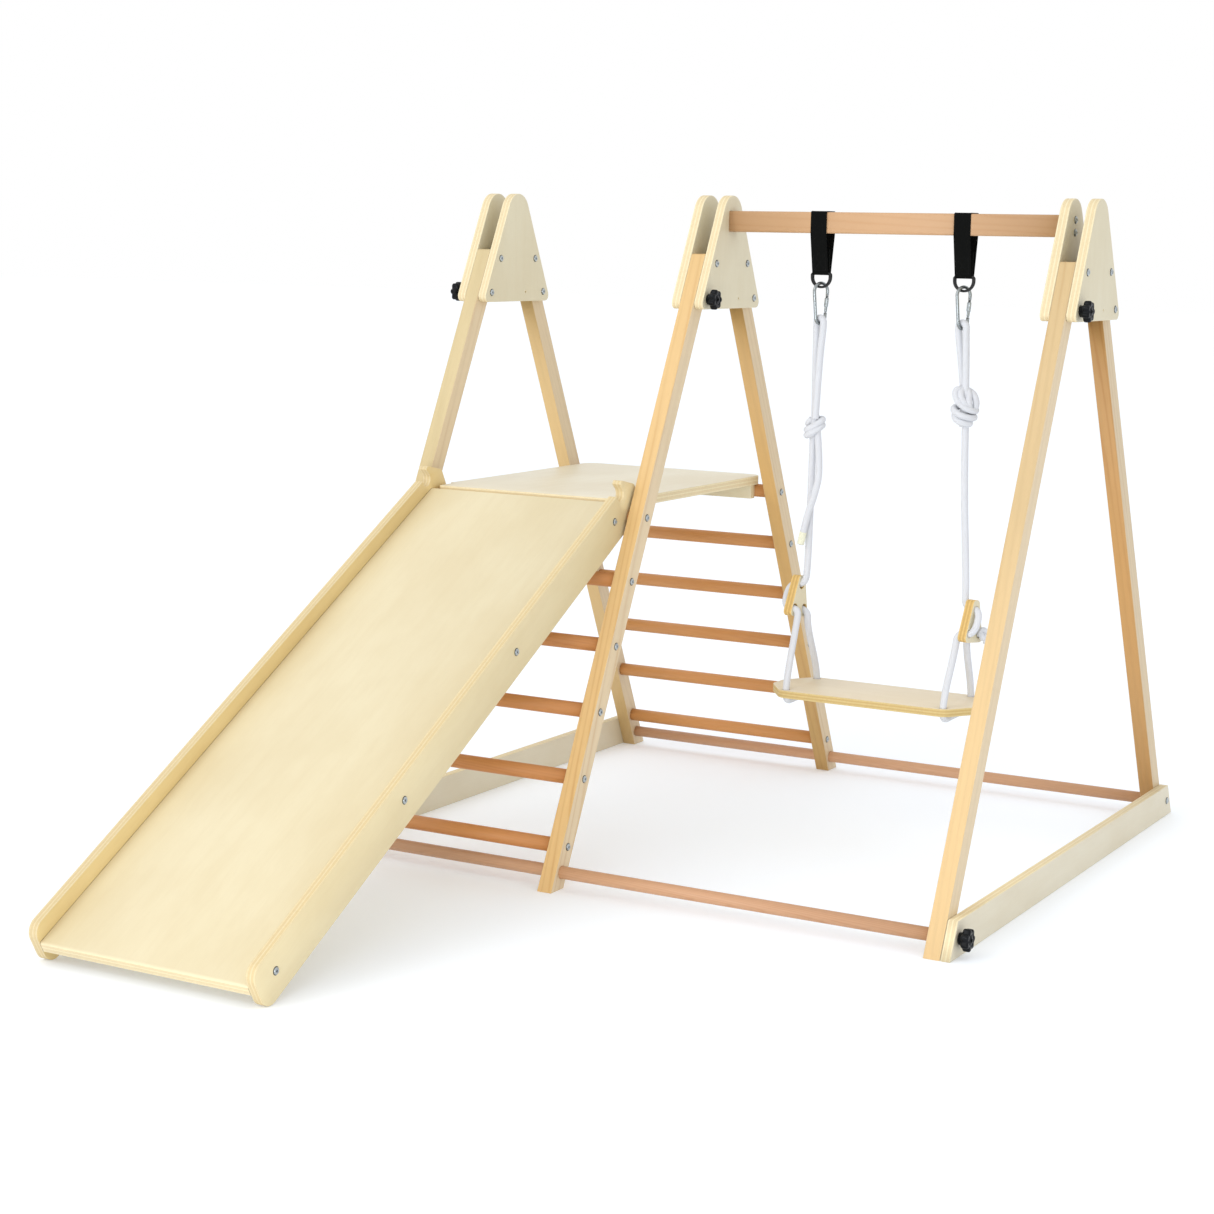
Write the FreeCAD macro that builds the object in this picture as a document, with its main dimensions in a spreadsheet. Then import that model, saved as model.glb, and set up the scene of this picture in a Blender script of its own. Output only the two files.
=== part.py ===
import FreeCAD, Part
import math
import os

import Sketcher
from FreeCAD import Placement, Rotation, Vector

# A wooden indoor swing set: three A-frames, a two-sided ladder with a platform
# and a slide between the left and middle frames, and a rope swing on a bar
# between the middle and right frames.
#
# Row frame: X runs along the swing bar, Y from the slide's foot to the back,
# Z up. The origin is on the floor under the middle of the whole set.
# Millimetres throughout. "Out" on a pair of swing parts means away from the
# middle of the bar.

DIMENSIONS = [
    # name, value, meaning
    ("ridge_y", "427.1", "the A-frames' ridge lies this far behind the origin"),
    ("left_x", "-636", "middle of the left A-frame"),
    ("middle_x", "-129", "middle of the middle A-frame"),
    ("right_x", "636", "middle of the right A-frame"),
    ("half_depth", "655", "ridge to the toe of a foot"),
    ("lean", "0.4833", "run of a leg per unit of height"),
    ("leg_cut", "45.5", "length of a foot's flat cut, front to back"),
    ("leg_width", "31", "leg along X"),
    ("leg_top", "1182", "height of the legs' flat tops"),
    ("ply", "19", "plywood of gussets, beams, deck and adjusters"),
    ("play", "0.3", "gap between a leg and a plate beside it"),
    ("gusset_bottom", "1072", "lower edge of a gusset"),
    ("crown_radius", "42.6", "round top of a gusset, tangent to its sides"),
    ("gusset_corner", "12", "lower corners of a gusset"),
    ("bolt_y", "70.3", "upper gusset bolts, from the ridge"),
    ("bolt_z", "1163.2", "upper gusset bolts, height"),
    ("low_bolt_y", "105.5", "lower gusset bolts and knobs, from the ridge"),
    ("low_bolt_z", "1092", "lower gusset bolts and knobs, height"),
    ("pilot_y", "33", "spare pilot hole in a gusset, from the ridge"),
    ("bolt_radius", "4", "shank of a pivot bolt or of a knob's stud"),
    ("running_fit", "0.08", "radial clearance round a turning shank"),
    ("rung_radius", "14", "ladder rungs"),
    ("rung_top_z", "670", "height of the top rungs"),
    ("rung_pitch", "118.8", "height between rungs"),
    ("dowel_radius", "12", "long base dowels"),
    ("dowel_z", "32", "height of the base dowels"),
    ("beam_height", "65", "base beam"),
    ("beam_bolt_z", "33", "height of the bolt and the knob of a base beam"),
    ("bar_z", "1248", "middle of the swing bar"),
    ("bar_height", "42", "swing bar"),
    ("bar_depth", "40", "swing bar"),
    ("deck_width", "436", "platform along X"),
    ("deck_tab", "414", "tab at the platform's front, between the slide's rails"),
    ("tab_back", "-260", "back end of that tab, from the ridge"),
    ("deck_front", "-319", "front edge of the platform, from the ridge"),
    ("deck_back", "322", "back edge of the platform, from the ridge"),
    ("deck_corner", "30", "rear corners of the platform"),
    ("cleat_height", "30", "stop under the platform, against the rear rung"),
    ("slide_slope", "29.5", "angle of the slide above the floor"),
    ("slide_width", "466", "over both rails"),
    ("rail_ply", "18", "plywood of the slide's rails"),
    ("rail_below", "14.6", "lower edge of a rail, below the top rung's axis"),
    ("rail_depth", "81", "depth of a rail"),
    ("rail_toe", "1352", "top rung's axis to the slide's lower end"),
    ("rail_head", "41.2", "top rung's axis to the slide's upper end"),
    ("toe_radius", "24", "corners of the slide's lower end"),
    ("notch_radius", "17", "notch over the top rung"),
    ("spare_notch_radius", "14", "notch in the rails' upper edge"),
    ("bed_low", "18.4", "underside of the slide's bed, above the rung's axis"),
    ("bed_head", "-9", "upper end of the bed, along the slope from the rung"),
    ("strap_width", "34", "swing strap webbing"),
    ("hanger_out", "150", "strap from the middle of the bar"),
    ("seat_length", "440", "swing seat along X"),
    ("seat_depth", "180", "swing seat front to back"),
    ("seat_ply", "15", "swing seat thickness"),
    ("seat_top", "317", "height of the seat"),
    ("seat_hole_out", "167", "rope holes from the middle of the seat"),
    ("seat_hole_y", "75", "rope holes from the middle of the seat"),
    ("rope_radius", "7", "braided rope"),
    ("hole_radius", "8", "rope holes"),
    ("left_adjuster_out", "183", "middle of the left adjuster, from the middle of the bar"),
    ("right_adjuster_out", "190", "middle of the right adjuster, from the middle of the bar"),
    ("left_adjuster_z", "497.5", "middle of the left adjuster"),
    ("right_adjuster_z", "480.5", "middle of the right adjuster"),
    ("left_adjuster_turn", "-10", "the left adjuster hangs turned about the rope, degrees"),
    ("right_adjuster_turn", "-13", "the right adjuster hangs turned about the rope, degrees"),
    ("left_adjuster_lean", "7", "the left adjuster's top leans to the back, degrees"),
    ("right_adjuster_lean", "5", "the right adjuster's top leans to the back, degrees"),
    ("left_knot_z", "843", "middle of the left rope's knot"),
    ("right_knot_z", "897", "middle of the right rope's knot"),
    ("left_knot_out", "155", "left rope's knot, from the middle of the bar"),
    ("right_knot_out", "160", "right rope's knot, from the middle of the bar"),
    ("knob_radius", "20.5", "star knob"),
    ("knob_grip", "14", "star knob's grip along its axis"),
    ("knob_hub", "8", "star knob's hub along its axis"),
]

RUNGS = 6
KNOB_LOBES = 7
SLIDE_BOLTS = 4
X_AXIS = Vector(1, 0, 0)
Z_AXIS = Vector(0, 0, 1)

doc = FreeCAD.newDocument("swing_set")


def fill_sheet():
    sheet = doc.addObject("Spreadsheet::Sheet", "Dims")
    for row, (name, value, meaning) in enumerate(DIMENSIONS, start=1):
        sheet.set(f"A{row}", name)
        sheet.set(f"B{row}", value)
        sheet.set(f"C{row}", meaning)
        sheet.setAlias(f"B{row}", name)
    doc.recompute()
    return sheet


sheet = fill_sheet()


def dim(name):
    """A driving dimension's value."""
    return float(sheet.get(name))


# Lengths that follow from the driving dimensions.
plate_gap = dim("leg_width") / 2 + dim("play")
bar_left = dim("middle_x") + plate_gap + dim("ply")
bar_right = dim("right_x") - plate_gap - dim("ply")
swing_x = (bar_left + bar_right) / 2
ladder_x = (dim("left_x") + dim("middle_x")) / 2
ladder_gap = dim("middle_x") - dim("left_x") - dim("leg_width")
ridge = Vector(0, dim("ridge_y"), 0)
parts = {}


def leg_centre(height):
    """Distance from the ridge to a leg's centre line at a height."""
    return dim("half_depth") - dim("leg_cut") / 2 - dim("lean") * height


def rung_height(index):
    return dim("rung_top_z") - dim("rung_pitch") * index


# ---------------------------------------------------------------- helpers

def new_body(label):
    body = doc.addObject("PartDesign::Body", label)
    body.Label = label
    parts[label] = body
    return body


def origin_feature(body, role):
    for feature in body.Origin.OriginFeatures:
        if feature.Role == role:
            return feature
    raise ValueError(role)


def new_sketch(body, role, lift=0.0):
    """A sketch on one of the body's own planes, lifted along its normal."""
    sketch = body.newObject("Sketcher::SketchObject", f"{body.Label}_sketch")
    sketch.AttachmentSupport = [(origin_feature(body, role), "")]
    sketch.MapMode = "FlatFace"
    sketch.AttachmentOffset = Placement(Vector(0, 0, lift), Rotation())
    return sketch


def pin_point(sketch, geometry, point, seed, across, up):
    """Ties one sketch point to two expressions of the sheet."""
    for kind, start, text in (("DistanceX", seed.x, across), ("DistanceY", seed.y, up)):
        index = sketch.addConstraint(Sketcher.Constraint(kind, -1, 1, geometry, point, start))
        sketch.setExpression(f"Constraints[{index}]", text)


def polygon(sketch, corners):
    """A closed outline whose corners are pairs of expressions."""
    count = len(corners)
    first = sketch.GeometryCount
    seeds = []
    for index in range(count):
        angle = 2 * math.pi * index / count
        seeds.append(Vector(100 * math.cos(angle), 100 * math.sin(angle), 0))
    for index in range(count):
        sketch.addGeometry(Part.LineSegment(seeds[index], seeds[(index + 1) % count]), False)
    for index in range(count):
        following = first + (index + 1) % count
        sketch.addConstraint(Sketcher.Constraint("Coincident", first + index, 2, following, 1))
    for index, (across, up) in enumerate(corners):
        pin_point(sketch, first + index, 1, seeds[index], across, up)


def circle(sketch, across, up, radius):
    """A circle whose centre and radius are expressions."""
    seed = Vector(10, 10, 0)
    index = sketch.addGeometry(Part.Circle(seed, Z_AXIS, 5), False)
    pin_point(sketch, index, 3, seed, across, up)
    size = sketch.addConstraint(Sketcher.Constraint("Radius", index, 5))
    sketch.setExpression(f"Constraints[{size}]", radius)


def pad(body, sketch, length, reversed_=False):
    feature = body.newObject("PartDesign::Pad", f"{body.Label}_pad")
    feature.Profile = sketch
    feature.setExpression("Length", length)
    feature.Reversed = reversed_
    body.Tip = feature
    doc.recompute()
    return feature


def cut_through(body, sketch):
    """Pockets the sketch all the way along the plane's normal."""
    before = body.Shape.Volume
    feature = body.newObject("PartDesign::Pocket", f"{body.Label}_cut")
    feature.Profile = sketch
    feature.Type = "ThroughAll"
    feature.Reversed = True
    body.Tip = feature
    doc.recompute()
    if feature.Shape.Volume > before - 1:
        raise RuntimeError(f"{body.Label}: a pocket cut nothing")
    return feature


def edges_near(feature, spots, along):
    """Names of the straight edges along an axis that pass the given spots."""
    names = []
    for number, edge in enumerate(feature.Shape.Edges, start=1):
        if len(edge.Vertexes) != 2:
            continue
        start, end = edge.Vertexes[0].Point, edge.Vertexes[1].Point
        run = (end - start).normalize()
        if abs(abs(run.dot(along)) - 1) > 1e-6:
            continue
        for spot in spots:
            offset = spot - start
            if (offset - along * offset.dot(along)).Length < 0.05:
                names.append(f"Edge{number}")
    return names


def round_edges(body, feature, spots, radius, along=X_AXIS):
    names = edges_near(feature, spots, along)
    if len(names) < len(spots):
        raise RuntimeError(f"{body.Label}: found {len(names)} of {len(spots)} edges")
    fillet = body.newObject("PartDesign::Fillet", f"{body.Label}_round")
    fillet.Base = (feature, names)
    fillet.setExpression("Radius", radius)
    body.Tip = fillet
    doc.recompute()
    return fillet


def soften(body, feature, radius):
    """Breaks every edge of the outline that lies in the two end faces along X."""
    low = feature.Shape.BoundBox.XMin
    high = feature.Shape.BoundBox.XMax
    names = []
    for number, edge in enumerate(feature.Shape.Edges, start=1):
        box = edge.BoundBox
        if box.XLength < 0.01 and min(abs(box.XMin - low), abs(box.XMin - high)) < 0.01:
            names.append(f"Edge{number}")
    fillet = body.newObject("PartDesign::Fillet", f"{body.Label}_soft")
    fillet.Base = (feature, names)
    fillet.Radius = radius
    body.Tip = fillet
    doc.recompute()


def place(body, x_text, y_text="Dims.ridge_y", z_text="0"):
    body.setExpression("Placement.Base.x", x_text)
    body.setExpression("Placement.Base.y", y_text)
    body.setExpression("Placement.Base.z", z_text)


def solid_group(label, shapes):
    """Loose, equal pieces kept together as one node."""
    group = doc.addObject("Part::Feature", label)
    group.Label = label
    group.Shape = Part.makeCompound(shapes) if len(shapes) > 1 else shapes[0]
    group.Placement = Placement(ridge, Rotation())
    parts[label] = group
    return group


# ---------------------------------------------------------------- wood frame

FRAMES = {"left": "Dims.left_x", "middle": "Dims.middle_x", "right": "Dims.right_x"}


def make_leg(side, frame, sign):
    """One leg: a board with level cuts at its foot and its top."""
    row = "front" if sign < 0 else "rear"
    body = new_body(f"{frame}_{row}_leg")
    sketch = new_sketch(body, "YZ_Plane")
    toe = "Dims.half_depth"
    rise = "Dims.lean * Dims.leg_top"
    polygon(sketch, [
        (f"{sign} * {toe}", "0"),
        (f"{sign} * ({toe} - Dims.leg_cut)", "0"),
        (f"{sign} * ({toe} - Dims.leg_cut - {rise})", "Dims.leg_top"),
        (f"{sign} * ({toe} - {rise})", "Dims.leg_top"),
    ])
    board = pad(body, sketch, "Dims.leg_width")
    top = Vector(0, sign * (dim("half_depth") - dim("lean") * dim("leg_top")), dim("leg_top"))
    board = round_edges(body, board, [top], "6")
    if row == "front" or frame == "middle":
        holes = new_sketch(body, "YZ_Plane")
        if row == "front":
            circle(holes, "-Dims.bolt_y", "Dims.bolt_z", "Dims.bolt_radius + Dims.running_fit")
        if frame == "middle":
            foot = "(Dims.half_depth - Dims.leg_cut / 2 - Dims.lean * Dims.dowel_z)"
            circle(holes, f"{sign} * {foot}", "Dims.dowel_z", "Dims.dowel_radius")
        board = cut_through(body, holes)
    soften(body, board, 1.2)
    place(body, f"{side} - Dims.leg_width / 2")


def make_gusset(label, side, outward, knob_hole, pilot_hole):
    """One triangular plate with a round crown, beside the two legs."""
    body = new_body(label)
    sketch = new_sketch(body, "YZ_Plane")
    reach = "(Dims.half_depth - Dims.lean * Dims.gusset_bottom)"
    polygon(sketch, [
        (f"-{reach}", "Dims.gusset_bottom"),
        (reach, "Dims.gusset_bottom"),
        ("0", "Dims.half_depth / Dims.lean"),
    ])
    plate = pad(body, sketch, "Dims.ply")
    apex = Vector(0, 0, dim("half_depth") / dim("lean"))
    plate = round_edges(body, plate, [apex], "Dims.crown_radius")
    half = dim("half_depth") - dim("lean") * dim("gusset_bottom")
    corners = [Vector(0, turn * half, dim("gusset_bottom")) for turn in (-1, 1)]
    plate = round_edges(body, plate, corners, "Dims.gusset_corner")
    if knob_hole or pilot_hole:
        holes = new_sketch(body, "YZ_Plane")
        if knob_hole:
            circle(holes, "-Dims.low_bolt_y", "Dims.low_bolt_z", "Dims.bolt_radius + Dims.running_fit")
        if pilot_hole:
            circle(holes, "Dims.pilot_y", "Dims.low_bolt_z", "2")
        plate = cut_through(body, holes)
    soften(body, plate, 1.5)
    if outward > 0:
        place(body, f"{side} + Dims.leg_width / 2 + Dims.play")
    else:
        place(body, f"{side} - Dims.leg_width / 2 - Dims.play - Dims.ply")


def make_rung(label, sign, height, radius, x_text, length):
    """One round bar along X, on the centre line of a row of legs."""
    body = new_body(label)
    sketch = new_sketch(body, "YZ_Plane")
    circle(sketch, "0", "0", radius)
    pad(body, sketch, length)
    centre = f"(Dims.half_depth - Dims.leg_cut / 2 - Dims.lean * ({height}))"
    place(body, x_text, f"Dims.ridge_y + {sign} * {centre}", height)


def make_ladder_bars():
    inside = "Dims.left_x + Dims.leg_width / 2"
    ladder = "Dims.middle_x - Dims.left_x - Dims.leg_width"
    whole = "Dims.right_x - Dims.left_x - Dims.leg_width"
    for row, sign in (("front", -1), ("rear", 1)):
        for index in range(RUNGS):
            height = f"Dims.rung_top_z - {index} * Dims.rung_pitch"
            label = f"{row}_rung_{index + 1}"
            make_rung(label, sign, height, "Dims.rung_radius", inside, ladder)
        label = f"{row}_base_dowel"
        make_rung(label, sign, "Dims.dowel_z", "Dims.dowel_radius", inside, whole)


def make_beam(label, x_text):
    """A base board from toe to toe, its ends cut along the legs."""
    body = new_body(label)
    sketch = new_sketch(body, "YZ_Plane")
    toe = "Dims.half_depth"
    shoulder = "(Dims.half_depth - Dims.lean * Dims.beam_height)"
    polygon(sketch, [
        (f"-{toe}", "0"),
        (toe, "0"),
        (shoulder, "Dims.beam_height"),
        (f"-{shoulder}", "Dims.beam_height"),
    ])
    board = pad(body, sketch, "Dims.ply")
    holes = new_sketch(body, "YZ_Plane")
    centre = "(Dims.half_depth - Dims.leg_cut / 2 - Dims.lean * Dims.beam_bolt_z)"
    for sign in ("-", ""):
        circle(holes, f"{sign}{centre}", "Dims.beam_bolt_z", "Dims.bolt_radius + Dims.running_fit")
    board = cut_through(body, holes)
    soften(body, board, 1.5)
    place(body, x_text)


def make_swing_bar():
    body = new_body("swing_bar")
    sketch = new_sketch(body, "YZ_Plane")
    corners = []
    for turn_y, turn_z in ((-1, -1), (1, -1), (1, 1), (-1, 1)):
        up = f"Dims.bar_z + {turn_z} * Dims.bar_height / 2"
        corners.append((f"{turn_y} * Dims.bar_depth / 2", up))
    polygon(sketch, corners)
    gap = "Dims.leg_width / 2 + Dims.play + Dims.ply"
    bar = pad(body, sketch, f"Dims.right_x - Dims.middle_x - 2 * ({gap})")
    spots = []
    for turn_y in (-1, 1):
        for turn_z in (-1, 1):
            up = dim("bar_z") + turn_z * dim("bar_height") / 2
            spots.append(Vector(0, turn_y * dim("bar_depth") / 2, up))
    round_edges(body, bar, spots, "4")
    place(body, f"Dims.middle_x + {gap}")


def make_frames():
    for frame, side in FRAMES.items():
        for sign in (-1, 1):
            make_leg(side, frame, sign)
    make_gusset("left_outer_gusset", FRAMES["left"], -1, True, False)
    make_gusset("left_inner_gusset", FRAMES["left"], 1, False, True)
    make_gusset("middle_left_gusset", FRAMES["middle"], -1, False, False)
    make_gusset("middle_right_gusset", FRAMES["middle"], 1, True, True)
    make_gusset("right_inner_gusset", FRAMES["right"], -1, False, False)
    make_gusset("right_outer_gusset", FRAMES["right"], 1, True, True)
    make_ladder_bars()
    reach = "(Dims.leg_width / 2 + Dims.play)"
    make_beam("left_base_beam", f"Dims.left_x - {reach} - Dims.ply")
    make_beam("right_base_beam", f"Dims.right_x + {reach}")
    make_swing_bar()


# ---------------------------------------------------------------- fasteners

HEAD_RADIUS = 6.5
HEAD_HEIGHT = 3.0
SOCKET_RADIUS = 2.9


def cap(centre, outward, sunk=0.0):
    """A low button head with a hex socket, standing on a face across X."""
    low, high = HEAD_HEIGHT * 0.45, HEAD_HEIGHT
    base = centre - outward * sunk
    rim = Part.makeCylinder(HEAD_RADIUS, low, base, outward)
    crown = Part.makeCone(HEAD_RADIUS, HEAD_RADIUS * 0.66, high - low, base + outward * low, outward)
    points = []
    for index in range(7):
        angle = math.pi / 3 * index
        flat = Vector(0, math.cos(angle), math.sin(angle)) * SOCKET_RADIUS
        points.append(base + outward * (high - 1.9) + flat)
    socket = Part.Face(Part.makePolygon(points)).extrude(outward * 4)
    return rim.fuse(crown).cut(socket).removeSplitter()


def wood_screw(centre, outward, length, radius=2.8):
    """A button-head screw driven along X, against the way it faces."""
    shank = Part.makeCylinder(radius, length, centre, outward * -1)
    return cap(centre, outward).fuse(shank).removeSplitter()


def barrel_bolt(x, y, z):
    """A bolt with a cap nut, right through a leg and both its gussets."""
    reach = plate_gap + dim("ply")
    low, high = Vector(x - reach, y, z), Vector(x + reach, y, z)
    shank = Part.makeCylinder(dim("bolt_radius"), 2 * reach, low, X_AXIS)
    return shank.fuse([cap(high, X_AXIS), cap(low, X_AXIS * -1)]).removeSplitter()


def gusset_bolts():
    bolts = []
    for frame in ("left_x", "middle_x", "right_x"):
        x = dim(frame)
        bolts.append(barrel_bolt(x, -dim("bolt_y"), dim("bolt_z")))
        bolts.append(barrel_bolt(x, dim("bolt_y"), dim("bolt_z")))
        bolts.append(barrel_bolt(x, dim("low_bolt_y"), dim("low_bolt_z")))
    return bolts


def insert_cap():
    """The left frame's knob threads into a capped insert on its inner plate."""
    face = Vector(dim("left_x") + plate_gap + dim("ply"), -dim("low_bolt_y"), dim("low_bolt_z"))
    return wood_screw(face, X_AXIS, dim("ply"))


def ladder_screws(sign):
    """Screws through the legs into the rungs; flush where a base beam swings past."""
    screws = []
    half = dim("leg_width") / 2
    for index in range(RUNGS):
        z = rung_height(index)
        y = sign * leg_centre(z)
        screws.append(wood_screw(Vector(dim("middle_x") + half, y, z), X_AXIS, 70))
        flush = Vector(dim("left_x") - half + HEAD_HEIGHT - 0.1, y, z)
        screws.append(wood_screw(flush, X_AXIS * -1, 67))
    return screws


def bar_screws():
    screws = []
    for x, outward in ((bar_right + dim("ply"), X_AXIS), (bar_left - dim("ply"), X_AXIS * -1)):
        for lift in (-12, 12):
            screws.append(wood_screw(Vector(x, 0, dim("bar_z") + lift), outward, 65))
    return screws


def beam_pivots():
    """Bolts that the base beams turn on, at the rear feet."""
    z = dim("beam_bolt_z")
    y = leg_centre(z)
    reach = plate_gap + dim("ply") + 0.3
    length = reach + dim("leg_width") / 2 - 3
    pivots = []
    for x, outward in ((dim("right_x"), X_AXIS), (dim("left_x"), X_AXIS * -1)):
        pivots.append(wood_screw(Vector(x, y, z) + outward * reach, outward, length, dim("bolt_radius")))
    return pivots


def slide_point(x, along, above):
    """A point given along the slide's slope and above the top rung's axis."""
    slope = math.radians(dim("slide_slope"))
    z = dim("rung_top_z")
    y = -leg_centre(z)
    across = along * math.cos(slope) - above * math.sin(slope)
    rise = along * math.sin(slope) + above * math.cos(slope)
    return Vector(x, y + across, z + rise)


def slide_screws():
    screws = []
    half = dim("slide_width") / 2
    middle = dim("bed_low") + dim("ply") / 2
    spacing = 414.5
    for index in range(SLIDE_BOLTS):
        along = -58 - spacing * index
        for outward in (X_AXIS, X_AXIS * -1):
            spot = slide_point(ladder_x, along, middle) + outward * half
            screws.append(wood_screw(spot, outward, 60))
    return screws


def make_fasteners():
    root = gusset_bolts() + [insert_cap()] + ladder_screws(1) + bar_screws() + beam_pivots()
    solid_group("frame_bolts", root)
    solid_group("front_ladder_screws", ladder_screws(-1))
    solid_group("slide_screws", slide_screws())


def make_knob(label, x_text, y, z_text, turn):
    """A star knob with its stud, pointing along +X, or -X when turned."""
    body = new_body(label)
    hub = new_sketch(body, "YZ_Plane")
    circle(hub, "0", "0", "Dims.knob_radius * 0.55")
    pad(body, hub, "Dims.knob_hub + 1")
    grip = new_sketch(body, "YZ_Plane", dim("knob_hub"))
    circle(grip, "0", "0", "Dims.knob_radius")
    disc = pad(body, grip, "Dims.knob_grip")
    flute = new_sketch(body, "YZ_Plane", dim("knob_hub") - 1)
    circle(flute, "0", "Dims.knob_radius + 3.6", "6.2")
    first_cut = cut_through(body, flute)
    pattern = body.newObject("PartDesign::PolarPattern", f"{label}_lobes")
    pattern.Originals = [first_cut]
    pattern.Axis = (origin_feature(body, "X_Axis"), [""])
    pattern.Angle = 360
    pattern.Occurrences = KNOB_LOBES
    body.Tip = pattern
    doc.recompute()
    stud = new_sketch(body, "YZ_Plane")
    circle(stud, "0", "0", "Dims.bolt_radius")
    pad(body, stud, "Dims.ply - 0.5", reversed_=True)
    if disc.Shape.Volume <= body.Shape.Volume - 5000:
        raise RuntimeError(f"{label}: the lobes are missing")
    body.Placement = Placement(Vector(0, 0, 0), Rotation(Z_AXIS, 180 if turn else 0))
    place(body, x_text, f"Dims.ridge_y + {y}", z_text)


def make_knobs():
    face = "Dims.leg_width / 2 + Dims.play + Dims.ply + 0.3"
    foot = "-(Dims.half_depth - Dims.leg_cut / 2 - Dims.lean * Dims.beam_bolt_z)"
    high, low = "Dims.low_bolt_z", "Dims.beam_bolt_z"
    make_knob("left_gusset_knob", f"Dims.left_x - ({face})", "-Dims.low_bolt_y", high, True)
    make_knob("middle_gusset_knob", f"Dims.middle_x + {face}", "-Dims.low_bolt_y", high, False)
    make_knob("right_gusset_knob", f"Dims.right_x + {face}", "-Dims.low_bolt_y", high, False)
    make_knob("left_foot_knob", f"Dims.left_x - ({face})", foot, low, True)
    make_knob("right_foot_knob", f"Dims.right_x + {face}", foot, low, False)


# ---------------------------------------------------------------- platform and slide

LADDER_MIDDLE = "(Dims.left_x + Dims.middle_x) / 2"


def make_platform():
    """The deck rests on the two top rungs; a cleat stops it against the rear one."""
    deck = new_body("platform_deck")
    sketch = new_sketch(deck, "XY_Plane")
    half = "Dims.deck_width / 2"
    tab = "Dims.deck_tab / 2"
    polygon(sketch, [
        (f"-{tab}", "Dims.deck_front"),
        (tab, "Dims.deck_front"),
        (tab, "Dims.tab_back"),
        (half, "Dims.tab_back"),
        (half, "Dims.deck_back"),
        (f"-{half}", "Dims.deck_back"),
        (f"-{half}", "Dims.tab_back"),
        (f"-{tab}", "Dims.tab_back"),
    ])
    board = pad(deck, sketch, "Dims.ply")
    rear = [Vector(turn * dim("deck_width") / 2, dim("deck_back"), 0) for turn in (-1, 1)]
    board = round_edges(deck, board, rear, "Dims.deck_corner", Z_AXIS)
    front = [Vector(turn * dim("deck_tab") / 2, dim("deck_front"), 0) for turn in (-1, 1)]
    front += [Vector(turn * dim("deck_width") / 2, dim("tab_back"), 0) for turn in (-1, 1)]
    round_edges(deck, board, front, "5", Z_AXIS)
    under = "Dims.rung_top_z + Dims.rung_radius + Dims.play"
    place(deck, LADDER_MIDDLE, "Dims.ridge_y", under)

    cleat = new_body("platform_cleat")
    sketch = new_sketch(cleat, "YZ_Plane")
    rung = "(Dims.half_depth - Dims.leg_cut / 2 - Dims.lean * Dims.rung_top_z)"
    back = f"({rung} - Dims.rung_radius - 0.7)"
    polygon(sketch, [
        (f"{back} - Dims.ply", "-Dims.cleat_height"),
        (back, "-Dims.cleat_height"),
        (back, "0"),
        (f"{back} - Dims.ply", "0"),
    ])
    pad(cleat, sketch, "Dims.deck_width - 12")
    place(cleat, f"{LADDER_MIDDLE} - Dims.deck_width / 2 + 6", "Dims.ridge_y", under)


def place_on_slope(body, x_text):
    """Puts a body whose Y runs up the slide and whose origin is on the top rung."""
    body.Placement = Placement(Vector(0, 0, 0), Rotation(X_AXIS, dim("slide_slope")))
    rung = "(Dims.half_depth - Dims.leg_cut / 2 - Dims.lean * Dims.rung_top_z)"
    place(body, x_text, f"Dims.ridge_y - {rung}", "Dims.rung_top_z")


def make_rail(label, x_text):
    """A slide rail: round toe, a notch over the rung and horns at its head."""
    body = new_body(label)
    sketch = new_sketch(body, "YZ_Plane")
    low, high = "-Dims.rail_below", "(Dims.rail_depth - Dims.rail_below)"
    head = "Dims.rail_head"
    polygon(sketch, [
        ("-Dims.rail_toe", low),
        (f"{head} - 24", low),
        (f"{head} - 24", f"{low} - 14"),
        (f"{head} - 15", f"{low} - 17"),
        (head, f"{low} + 15"),
        (head, f"{high} - 17"),
        (f"{head} - 40", f"{high} + 18"),
        (f"{head} - 48", f"{high} + 15"),
        (f"{head} - 43", high),
        ("-Dims.rail_toe", high),
    ])
    board = pad(body, sketch, "Dims.rail_ply")
    top = dim("rail_depth") - dim("rail_below")
    head_at = dim("rail_head")
    toes = [Vector(0, -dim("rail_toe"), -dim("rail_below")), Vector(0, -dim("rail_toe"), top)]
    board = round_edges(body, board, toes, "Dims.toe_radius")
    tips = [
        Vector(0, head_at, top - 17),
        Vector(0, head_at, 15 - dim("rail_below")),
    ]
    board = round_edges(body, board, tips, "14")
    points = [Vector(0, head_at - 48, top + 15), Vector(0, head_at - 40, top + 18)]
    board = round_edges(body, board, points, "3")
    notches = new_sketch(body, "YZ_Plane")
    circle(notches, "Dims.rail_head - 56.7", f"{high} - 4", "Dims.spare_notch_radius")
    board = cut_through(body, notches)
    drop = "(Dims.notch_radius - Dims.rung_radius - 0.5)"
    hook = new_sketch(body, "YZ_Plane")
    circle(hook, "0", f"-{drop}", "Dims.notch_radius")
    board = cut_through(body, hook)
    throat = new_sketch(body, "YZ_Plane")
    polygon(throat, [
        ("-Dims.notch_radius", f"-{drop}"),
        ("-Dims.notch_radius", "-60"),
        ("Dims.notch_radius", "-60"),
        ("Dims.notch_radius", f"-{drop}"),
    ])
    cut_through(body, throat)
    place_on_slope(body, x_text)


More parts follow.
